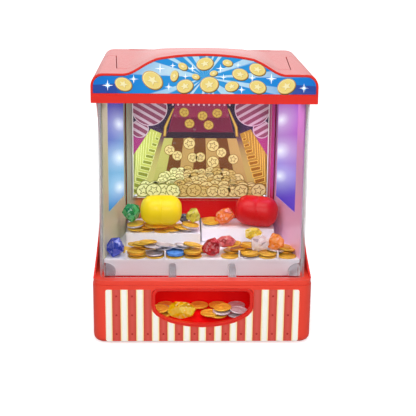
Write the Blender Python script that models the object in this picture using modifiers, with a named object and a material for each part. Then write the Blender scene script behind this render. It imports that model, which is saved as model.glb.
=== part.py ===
"""Toy coin pusher machine: a table-top penny-falls game.

Modelled in metres, +Z up.  The origin is under the middle of the machine at
the height of its feet.  The player stands on the -Y side; left is -X.
Lengths here are in millimetres and are multiplied by MM when a mesh is made.
A piece made without a material is a hidden helper for a boolean.
"""
import math

import bmesh
import bpy
from mathutils import Matrix, Vector

MM = 0.001
SIDES = (("left", -1), ("right", 1))

# ---- driving dimensions (mm); HALF is a half width in X ---------------------
BASE_HALF = 131.0
FRONT = -118.8           # front face of the base
REAR = 118.8             # rear face of the base
BASE_TOP = 74.0          # top of the base tub
DECK_Z = (74.3, 79.8)
TABLE_HALF = 118.6
TABLE_TOP = 96.0
LEDGE_Y = -85.0          # front edge of the coin table
PUSHER_Z = (96.6, 114.0)
PUSHER_Y = (-36.0, 64.0)     # at the front of the stroke
STROKE = 23.0
WINDOW_HALF, WINDOW_FRONT, WINDOW_WALL = 122.6, -107.0, 1.8
WINDOW_Z = (80.1, 298.0)
HOOD_HALF, HOOD_FRONT, HOOD_REAR = 127.7, -116.9, 118.6
HOOD_Z0, HOOD_Z1 = 291.7, 325.0

# Drive layout, seen from above
PIVOT = (0.0, 66.0)      # rocker pivot
ARM = 50.0               # rocker pivot to pusher pin
SWING = math.asin(STROKE / 2 / ARM)   # rocker swing each side of centre
CRANK_REACH = 26.0       # rocker pivot to crank centre
CRANK_RADIUS = CRANK_REACH * math.sin(SWING)
CRANK_TEETH, IDLER_TEETH, SMALL_TEETH = 40, 36, 10
SLOW_MODULE, FAST_MODULE = 1.0, 0.8   # crank pair, motor pair
CRANK = (0.0, PIVOT[1] + CRANK_REACH)
IDLER = (CRANK[0] + (CRANK_TEETH + SMALL_TEETH) * SLOW_MODULE / 2, CRANK[1])
MOTOR = (IDLER[0] + (IDLER_TEETH + SMALL_TEETH) * FAST_MODULE / 2, CRANK[1])
PIVOT_RADIUS = 4.0
PIN_RADIUS = 2.0         # crank pin and rocker pins
CRANK_SHAFT_RADIUS, IDLER_SHAFT_RADIUS = 3.0, 2.2
PLAY = 0.35              # radial gap round a turning shaft or pin

for old in list(bpy.data.objects):
    bpy.data.objects.remove(old, do_unlink=True)


def new_collection(name):
    collection = bpy.data.collections.new(name)
    bpy.context.scene.collection.children.link(collection)
    return collection


PARTS = new_collection("coin_pusher_machine")
HELPERS = new_collection("cutters")


# =============================================================================
# Materials
# =============================================================================
def material(name, rgb, rough, metal=0.0, alpha=1.0):
    mat = bpy.data.materials.new(name)
    mat.use_nodes = True
    inputs = mat.node_tree.nodes["Principled BSDF"].inputs
    inputs["Base Color"].default_value = (*rgb, 1.0)
    inputs["Roughness"].default_value = rough
    inputs["Metallic"].default_value = metal
    inputs["Alpha"].default_value = alpha
    mat.diffuse_color = (*rgb, alpha)
    return mat


RED = material("red_plastic", rgb=(0.83, 0.03, 0.02), rough=0.25)
DEEP_RED = material("red_inner_plastic", rgb=(0.70, 0.01, 0.015), rough=0.3)
WHITE = material("white_plastic", rgb=(0.86, 0.84, 0.88), rough=0.35)
SILVER = material("silver_plastic", rgb=(0.55, 0.54, 0.50), rough=0.4)
CLEAR = material("clear_plastic", rgb=(0.9, 0.93, 0.95), rough=0.05, alpha=0.25)
FROST = material("frosted_plastic", rgb=(0.75, 0.8, 0.95), rough=0.5, alpha=0.7)
PRINT = material("printed_card", rgb=(0.75, 0.6, 0.25), rough=0.5)
BLUE = material("marquee_print", rgb=(0.05, 0.45, 0.85), rough=0.4)
STRIPE = material("stripe_print", rgb=(0.85, 0.75, 0.6), rough=0.4)
BLACK = material("black_plastic", rgb=(0.03, 0.03, 0.03), rough=0.4)
RUBBER = material("rubber", rgb=(0.06, 0.06, 0.06), rough=0.8)
STEEL = material("steel", rgb=(0.6, 0.6, 0.62), rough=0.3, metal=1.0)
BOARD = material("circuit_board", rgb=(0.03, 0.25, 0.08), rough=0.4)
CELL = material("cell_jacket", rgb=(0.15, 0.16, 0.2), rough=0.3)
NYLON = material("nylon", rgb=(0.85, 0.83, 0.76), rough=0.5)


# =============================================================================
# Solid makers
# =============================================================================
def link(part, mat):
    """Put a piece in its collection; one without a material is a hidden helper."""
    if mat:
        PARTS.objects.link(part)
        part.data.materials.clear()
        part.data.materials.append(mat)
    else:
        HELPERS.objects.link(part)
        part.hide_render = True
        part.display_type = 'WIRE'
    return part


def store(name, shape, mat, origin=(0, 0, 0)):
    """Turn a bmesh drawn in world millimetres into an object with the given origin."""
    origin = Vector(origin)
    for vert in shape.verts:
        vert.co = (vert.co - origin) * MM
    mesh = bpy.data.meshes.new(name)
    shape.to_mesh(mesh)
    shape.free()
    part = bpy.data.objects.new(name, mesh)
    part.location = origin * MM
    return link(part, mat)


def closed(name, shape, mat=None, origin=(0, 0, 0), smooth=False):
    """Store a bmesh with its normals made consistent."""
    bmesh.ops.recalc_face_normals(shape, faces=shape.faces)
    part = store(name, shape, mat, origin)
    if smooth:
        part.data.shade_smooth()
        part.data.set_sharp_from_angle(angle=math.radians(35))
    return part


def span(half, centre=0.0):
    return centre - half, centre + half


def block_shape(*spans):
    """A bmesh block between X, Y and Z spans, and its centre."""
    centre = [(low + high) / 2 for low, high in spans]
    shape = bmesh.new()
    bmesh.ops.create_cube(shape, size=1.0)
    bmesh.ops.scale(shape, vec=[abs(high - low) for low, high in spans], verts=shape.verts)
    bmesh.ops.translate(shape, vec=centre, verts=shape.verts)
    return shape, centre


def bevel_edges(shape, edges, radius, segments):
    bmesh.ops.bevel(shape, geom=edges, offset=radius, segments=segments, profile=0.5,
                    affect='EDGES')


def upright_edges(shape):
    return [e for e in shape.edges if abs(e.verts[0].co.z - e.verts[1].co.z) > 1]


def round_edges(part, width, angle=40):
    bevel = part.modifiers.new("round", 'BEVEL')
    bevel.width = width * MM
    bevel.segments = 2
    bevel.limit_method = 'ANGLE'
    bevel.angle_limit = math.radians(angle)


def box(name, x_span, y_span, z_span, mat=None, bevel=0.0):
    shape, centre = block_shape(x_span, y_span, z_span)
    part = closed(name, shape, mat, origin=centre)
    if bevel:
        round_edges(part, bevel)
    return part


def blocks(name, specs):
    """Helper made of several blocks, each (centre, size)."""
    shape = bmesh.new()
    for centre, size in specs:
        matrix = Matrix.Translation(centre) @ Matrix.Diagonal((*size, 1))
        bmesh.ops.create_cube(shape, size=1.0, matrix=matrix)
    return closed(name, shape)


def rods(name, specs, turn_axis=None, origin=(0, 0, 0)):
    """Helper made of upright rods, each (centre, radius, length, segments).

    With turn_axis they are turned a quarter about X (to lie in Y) or Y (in X).
    """
    turn = Matrix.Rotation(math.pi / 2, 4, turn_axis) if turn_axis else Matrix.Identity(4)
    shape = bmesh.new()
    for centre, radius, length, segments in specs:
        bmesh.ops.create_cone(shape, cap_ends=True, segments=segments, radius1=radius,
                              radius2=radius, depth=length,
                              matrix=Matrix.Translation(centre) @ turn)
    return closed(name, shape, origin=origin)


def shaft(name, centre, z_span, radius, segments):
    """Helper: one upright shaft with its origin at its middle."""
    middle = (*centre, sum(z_span) / 2)
    return rods(name, [(middle, radius, z_span[1] - z_span[0], segments)], origin=middle)


def curve_solid(name, curve, mat, matrix=Matrix.Identity(4), recalc=False):
    """Convert a curve to a mesh object placed by matrix."""
    source = bpy.data.objects.new(name + "_curve", curve)
    source.matrix_world = matrix
    PARTS.objects.link(source)
    bpy.context.view_layer.update()
    graph = bpy.context.evaluated_depsgraph_get()
    mesh = bpy.data.meshes.new_from_object(source.evaluated_get(graph))
    mesh.name = name
    shape = bmesh.new()
    shape.from_mesh(mesh)
    bmesh.ops.remove_doubles(shape, verts=shape.verts, dist=2e-6)
    if recalc:
        bmesh.ops.recalc_face_normals(shape, faces=shape.faces)
    shape.to_mesh(mesh)
    shape.free()
    part = bpy.data.objects.new(name, mesh)
    part.matrix_world = source.matrix_world
    bpy.data.objects.remove(source, do_unlink=True)
    return link(part, mat)


def outline(name, loops, depth_span, plane, mat=None):
    """A flat outline (with holes) extruded over a span along the plane's normal."""
    curve = bpy.data.curves.new(name, 'CURVE')
    curve.dimensions = '2D'
    curve.fill_mode = 'BOTH'
    curve.extrude = abs(depth_span[1] - depth_span[0]) / 2 * MM
    for loop in loops:
        spline = curve.splines.new('POLY')
        spline.points.add(len(loop) - 1)
        for point, (across, up) in zip(spline.points, loop):
            point.co = (across * MM, up * MM, 0, 1)
        spline.use_cyclic_u = True
    middle = sum(depth_span) / 2 * MM
    if plane == 'XY':
        matrix = Matrix.Translation((0, 0, middle))
    elif plane == 'XZ':
        matrix = Matrix.Translation((0, middle, 0)) @ Matrix.Rotation(math.pi / 2, 4, 'X')
    else:
        turn = Matrix(((0, 0, 1, 0), (1, 0, 0, 0), (0, 1, 0, 0), (0, 0, 0, 1)))
        matrix = Matrix.Translation((middle, 0, 0)) @ turn
    return curve_solid(name, curve, mat, matrix, recalc=True)


# Rotation that points a turned piece's axis along each direction
AIM = {'Z': (0, 0, 0), 'Y': (-math.pi / 2, 0, 0), '-Y': (math.pi / 2, 0, 0),
       'X': (0, math.pi / 2, 0)}


def turned(name, profile, mat, centre, axis='Z', steps=24):
    """A turned solid: (radius, height) pairs down the outer side, top to bottom."""
    mesh = bpy.data.meshes.new(name)
    mesh.from_pydata([(radius * MM, 0, z * MM) for radius, z in profile],
                     [(i, i + 1) for i in range(len(profile) - 1)], [])
    part = bpy.data.objects.new(name, mesh)
    part.location = Vector(centre) * MM
    part.rotation_euler = AIM[axis]
    link(part, mat)
    screw = part.modifiers.new("turn", 'SCREW')
    screw.steps = screw.render_steps = steps
    screw.use_merge_vertices = True
    screw.merge_threshold = 0.00005
    screw.use_smooth_shade = True


def boolean(part, helper, operation):
    modifier = part.modifiers.new(operation.lower(), 'BOOLEAN')
    modifier.operation = operation
    modifier.solver = 'EXACT'
    modifier.object = helper


def cut(part, helper):
    boolean(part, helper, 'DIFFERENCE')


def join(part, helper):
    boolean(part, helper, 'UNION')


# =============================================================================
# Flat loops of points
# =============================================================================
def arc(across, up, radius, start, end, steps, radius_up=None):
    """Points on an arc about (across, up), angles in degrees; elliptical with radius_up."""
    if radius_up is None:
        radius_up = radius
    angles = [math.radians(start + (end - start) * i / steps) for i in range(steps + 1)]
    return [(across + radius * math.cos(a), up + radius_up * math.sin(a)) for a in angles]


def rounded(x_span, y_span, radius, steps=5):
    """Rectangle with rounded corners."""
    (x0, x1), (y0, y1) = x_span, y_span
    return (arc(x1 - radius, y0 + radius, radius, -90, 0, steps)
            + arc(x1 - radius, y1 - radius, radius, 0, 90, steps)
            + arc(x0 + radius, y1 - radius, radius, 90, 180, steps)
            + arc(x0 + radius, y0 + radius, radius, 180, 270, steps))


def circle(centre, radius, count=24):
    angles = [2 * math.pi * i / count for i in range(count)]
    return [(centre[0] + radius * math.cos(a), centre[1] + radius * math.sin(a))
            for a in angles]


def spin(points, centre, angle):
    """Turn points about (0, 0), then move them to centre."""
    cosine, sine = math.cos(angle), math.sin(angle)
    return [(centre[0] + x * cosine - y * sine, centre[1] + x * sine + y * cosine)
            for x, y in points]


def slot(centre, half, radius, angle=0.0):
    """Round-ended slot; half is from its middle to each end's centre."""
    ends = arc(half, 0, radius, -90, 90, 6) + arc(-half, 0, radius, 90, 270, 6)
    return spin(ends, centre, angle)


def smooth01(value):
    value = min(1.0, max(0.0, value))
    return value * value * (3 - 2 * value)


# =============================================================================
# Base tub, floor, feet and deck
# =============================================================================
TUB_Z = 1.0              # underside of the tub
TUB_WALL = 2.5
TUB_SIDE_RADIUS, TUB_LOW_RADIUS = 14, 8
FLOOR_Z = (1.6, 4.0)
FLOOR_HALF_X, FLOOR_HALF_Y, FLOOR_GAP = 120.5, 108.5, 0.5
BATTERY_Y = 60.0         # middle of the battery compartment

# Circuit board, held on posts set in from its corners
PCB_X, PCB_Y = (-108, -60), (10, 70)
PCB_POST_INSET = 4

# Prize opening: the outer edge of its bezel
PRIZE_HALF, PRIZE_TOP, PRIZE_LOW = 60.0, 69.8, 22.6
PRIZE_SIDE_Z = 48        # height where the bowl-shaped lower edge begins
PRIZE_GAP, LABEL_GAP = 0.4, 1.2


def tub_solid(name, inset, top, mat=None):
    """Tub with rounded uprights and lower edges, inset from the base's outside."""
    low_z = TUB_Z + inset
    shape, _ = block_shape(span(BASE_HALF - inset), (FRONT + inset, REAR - inset),
                           (low_z, top))
    bevel_edges(shape, upright_edges(shape), TUB_SIDE_RADIUS - inset, 5)
    low = [e for e in shape.edges if all(abs(v.co.z - low_z) < 1e-3 for v in e.verts)]
    bevel_edges(shape, low, TUB_LOW_RADIUS - inset, 4)
    return closed(name, shape, mat, smooth=mat is not None)


def bowl(half, top, low, radius):
    """Prize opening: flat top with rounded corners and a bowl-shaped lower edge."""
    return (arc(half - radius, top - radius, radius, 0, 90, 4)
            + arc(-half + radius, top - radius, radius, 90, 180, 4)
            + arc(0, PRIZE_SIDE_Z, half, 180, 360, 14, PRIZE_SIDE_Z - low))


tub = tub_solid("base_tub", 0, BASE_TOP, RED)
cut(tub, tub_solid("cut_tub_inside", TUB_WALL, BASE_TOP + 20))
cut(tub, box("cut_tub_floor", span(FLOOR_HALF_X + FLOOR_GAP), span(FLOOR_HALF_Y + FLOOR_GAP),
             (-5, 12)))
tub_prize = bowl(PRIZE_HALF + PRIZE_GAP, PRIZE_TOP + PRIZE_GAP, PRIZE_LOW - PRIZE_GAP, 7)
cut(tub, outline("cut_tub_prize", [tub_prize], (FRONT - 5, FRONT + 6), 'XZ'))
cut(tub, box("cut_tub_switch", (60, 76), (REAR - 6, REAR + 4), (34, 42)))

# floor with the battery hatch and the circuit board posts
floor = outline("base_floor", [rounded(span(FLOOR_HALF_X), span(FLOOR_HALF_Y), 6),
                               rounded(span(30.5), span(24.5, BATTERY_Y), 3)],
                FLOOR_Z, 'XY', RED)
join(floor, rods("join_floor_posts", [
    ((x, y, 7.5), 2.5, 8.0, 10)
    for x in (PCB_X[0] + PCB_POST_INSET, PCB_X[1] - PCB_POST_INSET)
    for y in (PCB_Y[0] + PCB_POST_INSET, PCB_Y[1] - PCB_POST_INSET)]))

FOOT_PROFILE = [(0, 1.3), (9, 1.3), (9, 0.6), (8.2, 0), (0, 0)]
for i, (x, y) in enumerate(((-98, -90), (98, -90), (-98, 90), (98, 90)), 1):
    turned(f"foot_{i}", FOOT_PROFILE, RUBBER, (x, y, 0), steps=20)

# deck: lid of the tub, with the coin drop at the front and an opening at the rear
deck = outline("base_deck", [rounded(span(130.3), span(118.3), 13.5),
                             rounded(span(117.5), (-104.4, -79.5), 3),
                             rounded(span(100), (20, 111), 6)], DECK_Z, 'XY', RED)
round_edges(deck, 1.8, angle=60)

outline("prize_bezel", [bowl(PRIZE_HALF, PRIZE_TOP, PRIZE_LOW, 7),
                        bowl(56.5, 67.4, 25.9, 6)], (-120.0, -114.0), 'XZ', DEEP_RED)
label = outline("stripe_label", [rounded(span(115.4), (4.0, 69.1), 2.5)],
                (FRONT - 0.5, FRONT - 0.1), 'XZ', STRIPE)
# this cutter runs out through the label's top edge
cut(label, outline("cut_label_prize",
                   [bowl(PRIZE_HALF + LABEL_GAP, 75.0, PRIZE_LOW - LABEL_GAP, 7)],
                   span(4, FRONT), 'XZ'))

# Prize tray section across the machine: (x, z)
TRAY_SECTION = [(-115.5, 71.0), (-80, 60), (-73, 25), (73, 25), (80, 60), (115.5, 71.0)]
TRAY_FRONT, TRAY_REAR = -113.5, -66.0
TRAY_REAR_LIFT = 9.0     # the tray's bottom climbs this much to the rear


def prize_tray():
    """One bent sheet, closed at the rear, that catches coins from the whole drop."""
    shape = bmesh.new()
    front = [shape.verts.new((x, TRAY_FRONT, z)) for x, z in TRAY_SECTION]
    rear = [shape.verts.new((x, TRAY_REAR, z + (TRAY_REAR_LIFT if z < 30 else 0)))
            for x, z in TRAY_SECTION]
    for i in range(len(front) - 1):
        shape.faces.new((front[i], front[i + 1], rear[i + 1], rear[i]))
    rear_wall = shape.faces.new(rear)
    bmesh.ops.triangulate(shape, faces=[rear_wall])
    sheet = closed("prize_tray", shape, DEEP_RED).modifiers.new("sheet", 'SOLIDIFY')
    sheet.thickness = 1.8 * MM
    sheet.offset = 0.0
    sheet.use_even_offset = False


prize_tray()

# =============================================================================
# Batteries, circuit board and switch
# =============================================================================
BATTERY_Z, BATTERY_PITCH = 12.6, 15.3
DOOR_SCREW_Y = 79.6
BATTERY_PROFILE = [(0, 26.2), (2.7, 26.2), (2.7, 24.9), (6.6, 24.9), (7.15, 24.2),
                   (7.15, -24.6), (6.7, -25.1), (0, -25.1)]
DOOR_SCREW_PROFILE = [(0, 3.6), (2.9, 3.6), (2.9, 2.0), (2.2, 1.5), (0, 1.5)]

battery_box = box("battery_box", span(33), span(26.5, BATTERY_Y), (4.3, 23), BLACK)
cut(battery_box, box("cut_battery_bay", span(30.9), span(24.4, BATTERY_Y), (0, 21.2)))
for i in range(3):
    turned(f"battery_{i + 1}", BATTERY_PROFILE, CELL,
           (0, BATTERY_Y + BATTERY_PITCH * (i - 1), BATTERY_Z), axis='X', steps=20)
outline("battery_door", [rounded(span(30.1), span(24.1, BATTERY_Y), 2.6),
                         circle((0, DOOR_SCREW_Y), 3.3, 16)], (FLOOR_Z[0], 3.8), 'XY', RED)
turned("battery_door_screw", DOOR_SCREW_PROFILE, STEEL, (0, DOOR_SCREW_Y, 0), steps=14)

# Blocks on the board: (x, y, size x, size y, size z), sunk a little into it
PCB_BLOCKS = ((-84, 40, 14, 14, 5), (-98, 58, 8, 12, 8), (-70, 22, 10, 8, 6),
              (-96, 22, 7, 7, 10))
pcb = box("circuit_board", PCB_X, PCB_Y, (11.9, 13.5), BOARD)
join(pcb, blocks("join_board_parts", [((x, y, 13.0 + high / 2), (wide, deep, high))
                                      for x, y, wide, deep, high in PCB_BLOCKS]))

box("power_switch_body", (58, 78), (REAR - 12, REAR - 2.9), (31, 45), BLACK)
box("power_slider", (61, 67.5), (REAR - 2.3, 120.0), (35, 41), BLACK, bevel=0.6)

# =============================================================================
# Coin table and pushers
# =============================================================================
TABLE_REAR = 104
# Section of the table with its front lip: (y, z)
TABLE_SECTION = [(LEDGE_Y, 91.6), (-83.6, 91.6), (-83.6, 74.8), (-81.6, 74.8), (-81.6, 93.2),
                 (TABLE_REAR, 93.2), (TABLE_REAR, TABLE_TOP), (LEDGE_Y, TABLE_TOP)]
POST_Z = (94.5, 141.6)
POST_Y, POST_RADIUS = 100, 3.2

table = outline("coin_table", [TABLE_SECTION], span(TABLE_HALF), 'YZ', WHITE)
for tag, side in SIDES:
    cut(table, box(f"cut_table_{tag}", (side * 140, side * 116.6), (-90, -60), (50, 91.0)))
join(table, blocks("join_table_pegs", [
    ((x, LEDGE_Y + 2.4, TABLE_TOP + 4.5), (1.8, 4.2, 11.0)) for x in (-92, -45, 45, 92)]))
# two gearbox posts and the rocker's post
join(table, rods("join_table_posts", [
    ((x, y, sum(POST_Z) / 2), radius, POST_Z[1] - POST_Z[0], 20)
    for x, y, radius in ((-24, POST_Y, POST_RADIUS), (60, POST_Y, POST_RADIUS),
                         (*PIVOT, PIVOT_RADIUS))]))

# clear ribs that brace the window under the lip of the coin table
RIB_X, RIB_Z = 117.6, 80.2   # outer lower corner of a corner rib
for tag, side in SIDES:
    corner = [(side * RIB_X, RIB_Z)] + arc(side * RIB_X, RIB_Z, -side * 13.0, 0, 90, 6, 10.8)
    outline(f"window_rib_corner_{tag}", [corner], (-101.0, -84.0), 'XZ', CLEAR)
    box(f"window_rib_{tag}", (side * 31.5, side * 40.5), (-104.0, -84.0), (77.0, 91.0),
        CLEAR, bevel=2.2)

PUSHER_INNER, PUSHER_OUTER, PUSHER_WALL = 1.0, 94.0, 2.2
PIN_SLOT_X, PIN_SLOT_HALF = 49.33, 1.4


def pusher(name, side, back):
    """One pusher: a moulded cover, open underneath, with a cross slot for the rocker's pin."""
    front, rear = PUSHER_Y[0] + back, PUSHER_Y[1] + back
    low, top = PUSHER_Z
    part = box(name, (side * PUSHER_INNER, side * PUSHER_OUTER), (front, rear), PUSHER_Z, WHITE)
    cut(part, box("cut_in_" + name,
                  (side * (PUSHER_INNER + PUSHER_WALL), side * (PUSHER_OUTER - PUSHER_WALL)),
                  (front + PUSHER_WALL, rear - PUSHER_WALL), (low - 5, top - PUSHER_WALL)))
    # clearance for the rocker's post at the inner rear corner
    cut(part, box("cut_post_" + name, (side * 9, side * -2), (front + 72.0, rear + 4),
                  (low - 6, top + 6)))
    pin_slot = slot((side * PIN_SLOT_X, PIVOT[1] - STROKE / 2 + back), PIN_SLOT_HALF,
                    PIN_RADIUS + PLAY)
    cut(part, outline("cut_slot_" + name, [pin_slot], (top - 8, top + 4), 'XY'))


pusher("pusher_left", -1, 0.0)
pusher("pusher_right", 1, STROKE)

# =============================================================================
# Inner back wall and the backdrop in front of it
# =============================================================================
WALL_Y = 33.0            # front of the inner back wall
# Pins behind the backdrop window: (x, z)
PANE_PINS = ((-33, 253), (-34, 217), (-34, 183), (-8, 235), (29, 182), (-67, 271),
             (34, 254), (62.4, 217), (64, 255), (0, 200), (-62, 200))
PANE_SCREW_PROFILE = [(0, 1.8), (1.2, 1.7), (2.3, 1.0), (2.6, 0), (0, 0)]

box("inner_back_wall", span(96.0), (WALL_Y, WALL_Y + 2.4), (115.2, 301.0), DEEP_RED)
box("backdrop_panel", span(88.0), (29.6, 31.6), (143.5, 300.0), PRINT)
pane = box("backdrop_window", span(90.5), (22.6, 24.4), (141.8, 300.0), CLEAR)
join(pane, blocks("join_pane_strips", [((side * 89.6, 28.1, 221), (1.8, 8.8, 157))
                                       for _, side in SIDES]))
join(pane, rods("join_pane_pins", [((x, 26.4, z), 1.2, 5.6, 8) for x, z in PANE_PINS],
                turn_axis='X'))
for tag, side in SIDES:
    turned(f"pane_screw_{tag}", PANE_SCREW_PROFILE, STEEL, (side * 84, 22.3, 147.5),
           axis='-Y', steps=12)

# =============================================================================
# Light walls at the sides of the table
# =============================================================================
LIGHT_FRONT_X, LIGHT_REAR_X, LIGHT_REAR_Y = 118.0, 97.2, 32.5
LENS_Y, LENS_Z = (-60, 24), (148, 296)   # opening for the lens
LENS_GAP = 0.4
LED_Y = -8
LED_HEIGHTS = {"left": (246, 203, 165), "right": (251, 211, 178)}


def wall_x(y, offset):
    """Distance outwards from a light wall's inner face, which narrows to the rear."""
    return (LIGHT_FRONT_X + (LIGHT_REAR_X - LIGHT_FRONT_X) * (y - LEDGE_Y)
            / (LIGHT_REAR_Y - LEDGE_Y) + offset)


def wall_strip(side, y0, y1, inner, outer):
    """Plan of a strip along a light wall, between two offsets from its inner face."""
    corners = ((y0, inner), (y1, inner), (y1, outer), (y0, outer))
    return [(side * wall_x(y, offset), y) for y, offset in corners]


for tag, side in SIDES:
    wall = outline(f"light_wall_{tag}", [wall_strip(side, LEDGE_Y, 32.4, 0, 1.8)],
                   (96.4, 300.0), 'XY', SILVER)
    cut(wall, box(f"cut_wall_{tag}", (side * 88, side * 126), LENS_Y, LENS_Z))
    lens = wall_strip(side, LENS_Y[0] + LENS_GAP, LENS_Y[1] - LENS_GAP, 0.3, 1.5)
    outline(f"light_lens_{tag}", [lens], (LENS_Z[0] + LENS_GAP, LENS_Z[1] - LENS_GAP),
            'XY', FROST)
    led_board = outline(f"led_board_{tag}", [wall_strip(side, -26, 18, 8.6, 10.2)],
                        (150.0, 268.0), 'XY', BOARD)
    tip, root = wall_x(LED_Y, 3.2), wall_x(LED_Y, 9.2)
    join(led_board, rods(f"join_leds_{tag}", [
        ((side * (tip + root) / 2, LED_Y, z), 2.5, root - tip, 14)
        for z in LED_HEIGHTS[tag]], turn_axis='Y'))

# =============================================================================
# Drive: motor, reduction gears, crank and rocker
# =============================================================================
BACKLASH = 0.22
# Turns a small gear so that a gap between its teeth faces the larger one
SMALL_PHASE = math.pi + math.pi / SMALL_TEETH
# Rocker at mid swing, from its pivot: (x, y)
ROCKER_OUTLINE = [
    (-54, -4), (-9, -6), (-6, -8), (6, -8), (9, -6), (54, -4), (54, 4), (9, 6), (6, 8),
    (5.4, 12), (5.4, 37), (3.4, 39), (-3.4, 39), (-5.4, 37), (-5.4, 12), (-6, 8), (-9, 6),
    (-54, 4)]
MOTOR_PROFILE = [(0, 27.5), (3.0, 27.5), (3.0, 25.5), (11.0, 25.5), (12.0, 24.5),
                 (12.0, 0.8), (11.2, 0), (1.6, 0), (1.6, 6), (0, 6)]


def gear(teeth, module, centre, phase=0.0):
    """Straight-sided spur gear outline with backlash."""
    pitch = teeth * module / 2
    tip, root = pitch + module - 0.15, pitch - 1.2 * module
    half = math.pi / (2 * teeth)
    slack = BACKLASH / pitch / 2
    root_angle, tip_angle = half * 1.45 - slack, half * 0.55 - slack
    tooth = ((root, -root_angle), (tip, -tip_angle), (tip, tip_angle), (root, root_angle))
    points = []
    for i in range(teeth):
        middle = phase + 2 * math.pi * i / teeth
        points += [(centre[0] + radius * math.cos(middle + angle),
                    centre[1] + radius * math.sin(middle + angle))
                   for radius, angle in tooth]
    return points


# rocker, shown at one end of its swing, with a pin under each tip
crank_slot = slot((0, CRANK_REACH), 7.2, 2.5, math.pi / 2)
rocker = outline("rocker_arm", [spin(ROCKER_OUTLINE, PIVOT, SWING),
                                circle(PIVOT, PIVOT_RADIUS + PLAY),
                                spin(crank_slot, PIVOT, SWING)], (118.0, 122.0), 'XY', NYLON)
tips = spin([(-ARM, 0), (ARM, 0)], PIVOT, SWING)
join(rocker, rods("join_rocker_pins", [((x, y, 114.5), PIN_RADIUS, 12.0, 16)
                                       for x, y in tips]))

# output gear, crank disc, crank pin and shaft: one moulding
crank = outline("crank_gear", [gear(CRANK_TEETH, SLOW_MODULE, CRANK)], (127.0, 133.0), 'XY',
                NYLON)
join(crank, rods("join_crank_disc", [((*CRANK, 125.9), 12.0, 3.4, 28)]))
crank_pin = spin([(0, math.sqrt(CRANK_REACH ** 2 - CRANK_RADIUS ** 2))], PIVOT, SWING)[0]
join(crank, rods("join_crank_pin", [((*crank_pin, 124.1), PIN_RADIUS, 3.2, 16),
                                    ((*CRANK, 138.5), CRANK_SHAFT_RADIUS, 13.0, 20)]))

# idler: the small wheel meshes with the output gear, the large one with the motor pinion
idler = outline("idler_gear", [gear(IDLER_TEETH, FAST_MODULE, IDLER)], (134.2, 138.2), 'XY',
                NYLON)
join(idler, outline("join_idler_small", [gear(SMALL_TEETH, SLOW_MODULE, IDLER, SMALL_PHASE)],
                    (126.6, 135.0), 'XY'))
join(idler, shaft("join_idler_shaft", IDLER, (137.5, 145.0), IDLER_SHAFT_RADIUS, 16))

pinion = outline("motor_pinion", [gear(SMALL_TEETH, FAST_MODULE, MOTOR, SMALL_PHASE)],
                 (133.6, 138.6), 'XY', STEEL)
join(pinion, shaft("join_pinion_shaft", MOTOR, (138.0, 149.0), 1.2, 12))
outline("gearbox_plate", [rounded((-30, 66), (60, 112), 5),
                          circle(CRANK, CRANK_SHAFT_RADIUS + PLAY, 20),
                          circle(IDLER, IDLER_SHAFT_RADIUS + PLAY, 16),
                          circle(MOTOR, 4.5, 16)], (142.0, 144.6), 'XY', BLACK)
turned("drive_motor", MOTOR_PROFILE, STEEL, (*MOTOR, 144.9))

# Wire from the circuit board up to the motor: (x, y, z)
WIRE_PATH = [(-88, 62, 15.2), (-88, 62, 30), (-88, 74, 44), (-88, 100, 56), (-88, 107.5, 70),
             (-88, 107.5, 160), (-80, 107.5, 172), (0, 107, 172), (34, 104, 178),
             (MOTOR[0], 98, 180), (MOTOR[0], 94.5, 173.4)]


def wire_harness():
    curve = bpy.data.curves.new("wire", 'CURVE')
    curve.dimensions = '3D'
    curve.bevel_depth = 1.1 * MM
    curve.bevel_resolution = 2
    curve.use_fill_caps = True
    spline = curve.splines.new('POLY')
    spline.points.add(len(WIRE_PATH) - 1)
    for point, place in zip(spline.points, WIRE_PATH):
        point.co = (*(value * MM for value in place), 1)
    curve_solid("wire_harness", curve, BLACK)


wire_harness()

SPEAKER_X, SPEAKER_Z = -52, 214
SPEAKER_PROFILE = [(0, 2.2), (14, 3.6), (21.5, 4.2), (21.5, 1.5), (12, -5.5), (12, -12),
                   (0, -12)]
turned("speaker", SPEAKER_PROFILE, BLACK, (SPEAKER_X, 109.5, SPEAKER_Z), axis='Y', steps=28)

# =============================================================================
# Upper casing: window, side panels and back cover
# =============================================================================
WINDOW_RADIUS = 9.0
WINDOW_REAR = -20.0


def window_outline():
    """Plan of the window: a U with rounded front corners, open to the rear."""
    x, y = WINDOW_HALF - WINDOW_RADIUS, WINDOW_FRONT + WINDOW_RADIUS
    inner_half, inner_radius = WINDOW_HALF - WINDOW_WALL, WINDOW_RADIUS - WINDOW_WALL
    return ([(-WINDOW_HALF, WINDOW_REAR)]
            + arc(-x, y, WINDOW_RADIUS, 180, 270, 6) + arc(x, y, WINDOW_RADIUS, 270, 360, 6)
            + [(WINDOW_HALF, WINDOW_REAR), (inner_half, WINDOW_REAR)]
            + arc(x, y, inner_radius, 360, 270, 6) + arc(-x, y, inner_radius, 270, 180, 6)
            + [(-inner_half, WINDOW_REAR)])


outline("front_window", [window_outline()], WINDOW_Z, 'XY', CLEAR)

PANEL_Z = (80.1, 291.3)
PANEL_REAR, PANEL_RADIUS = 118.2, 14.0
PANEL_REAR_X = 104.6     # where the panel ends on the rear face
WAIST_X, WAIST_FRONT, WAIST_Z = 126.0, -25.0, 185.0   # narrowest point of the panel
FLANK_END, CORNER_END = 0.5, 0.917   # shares of the grid: flank, then rear corner


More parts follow.
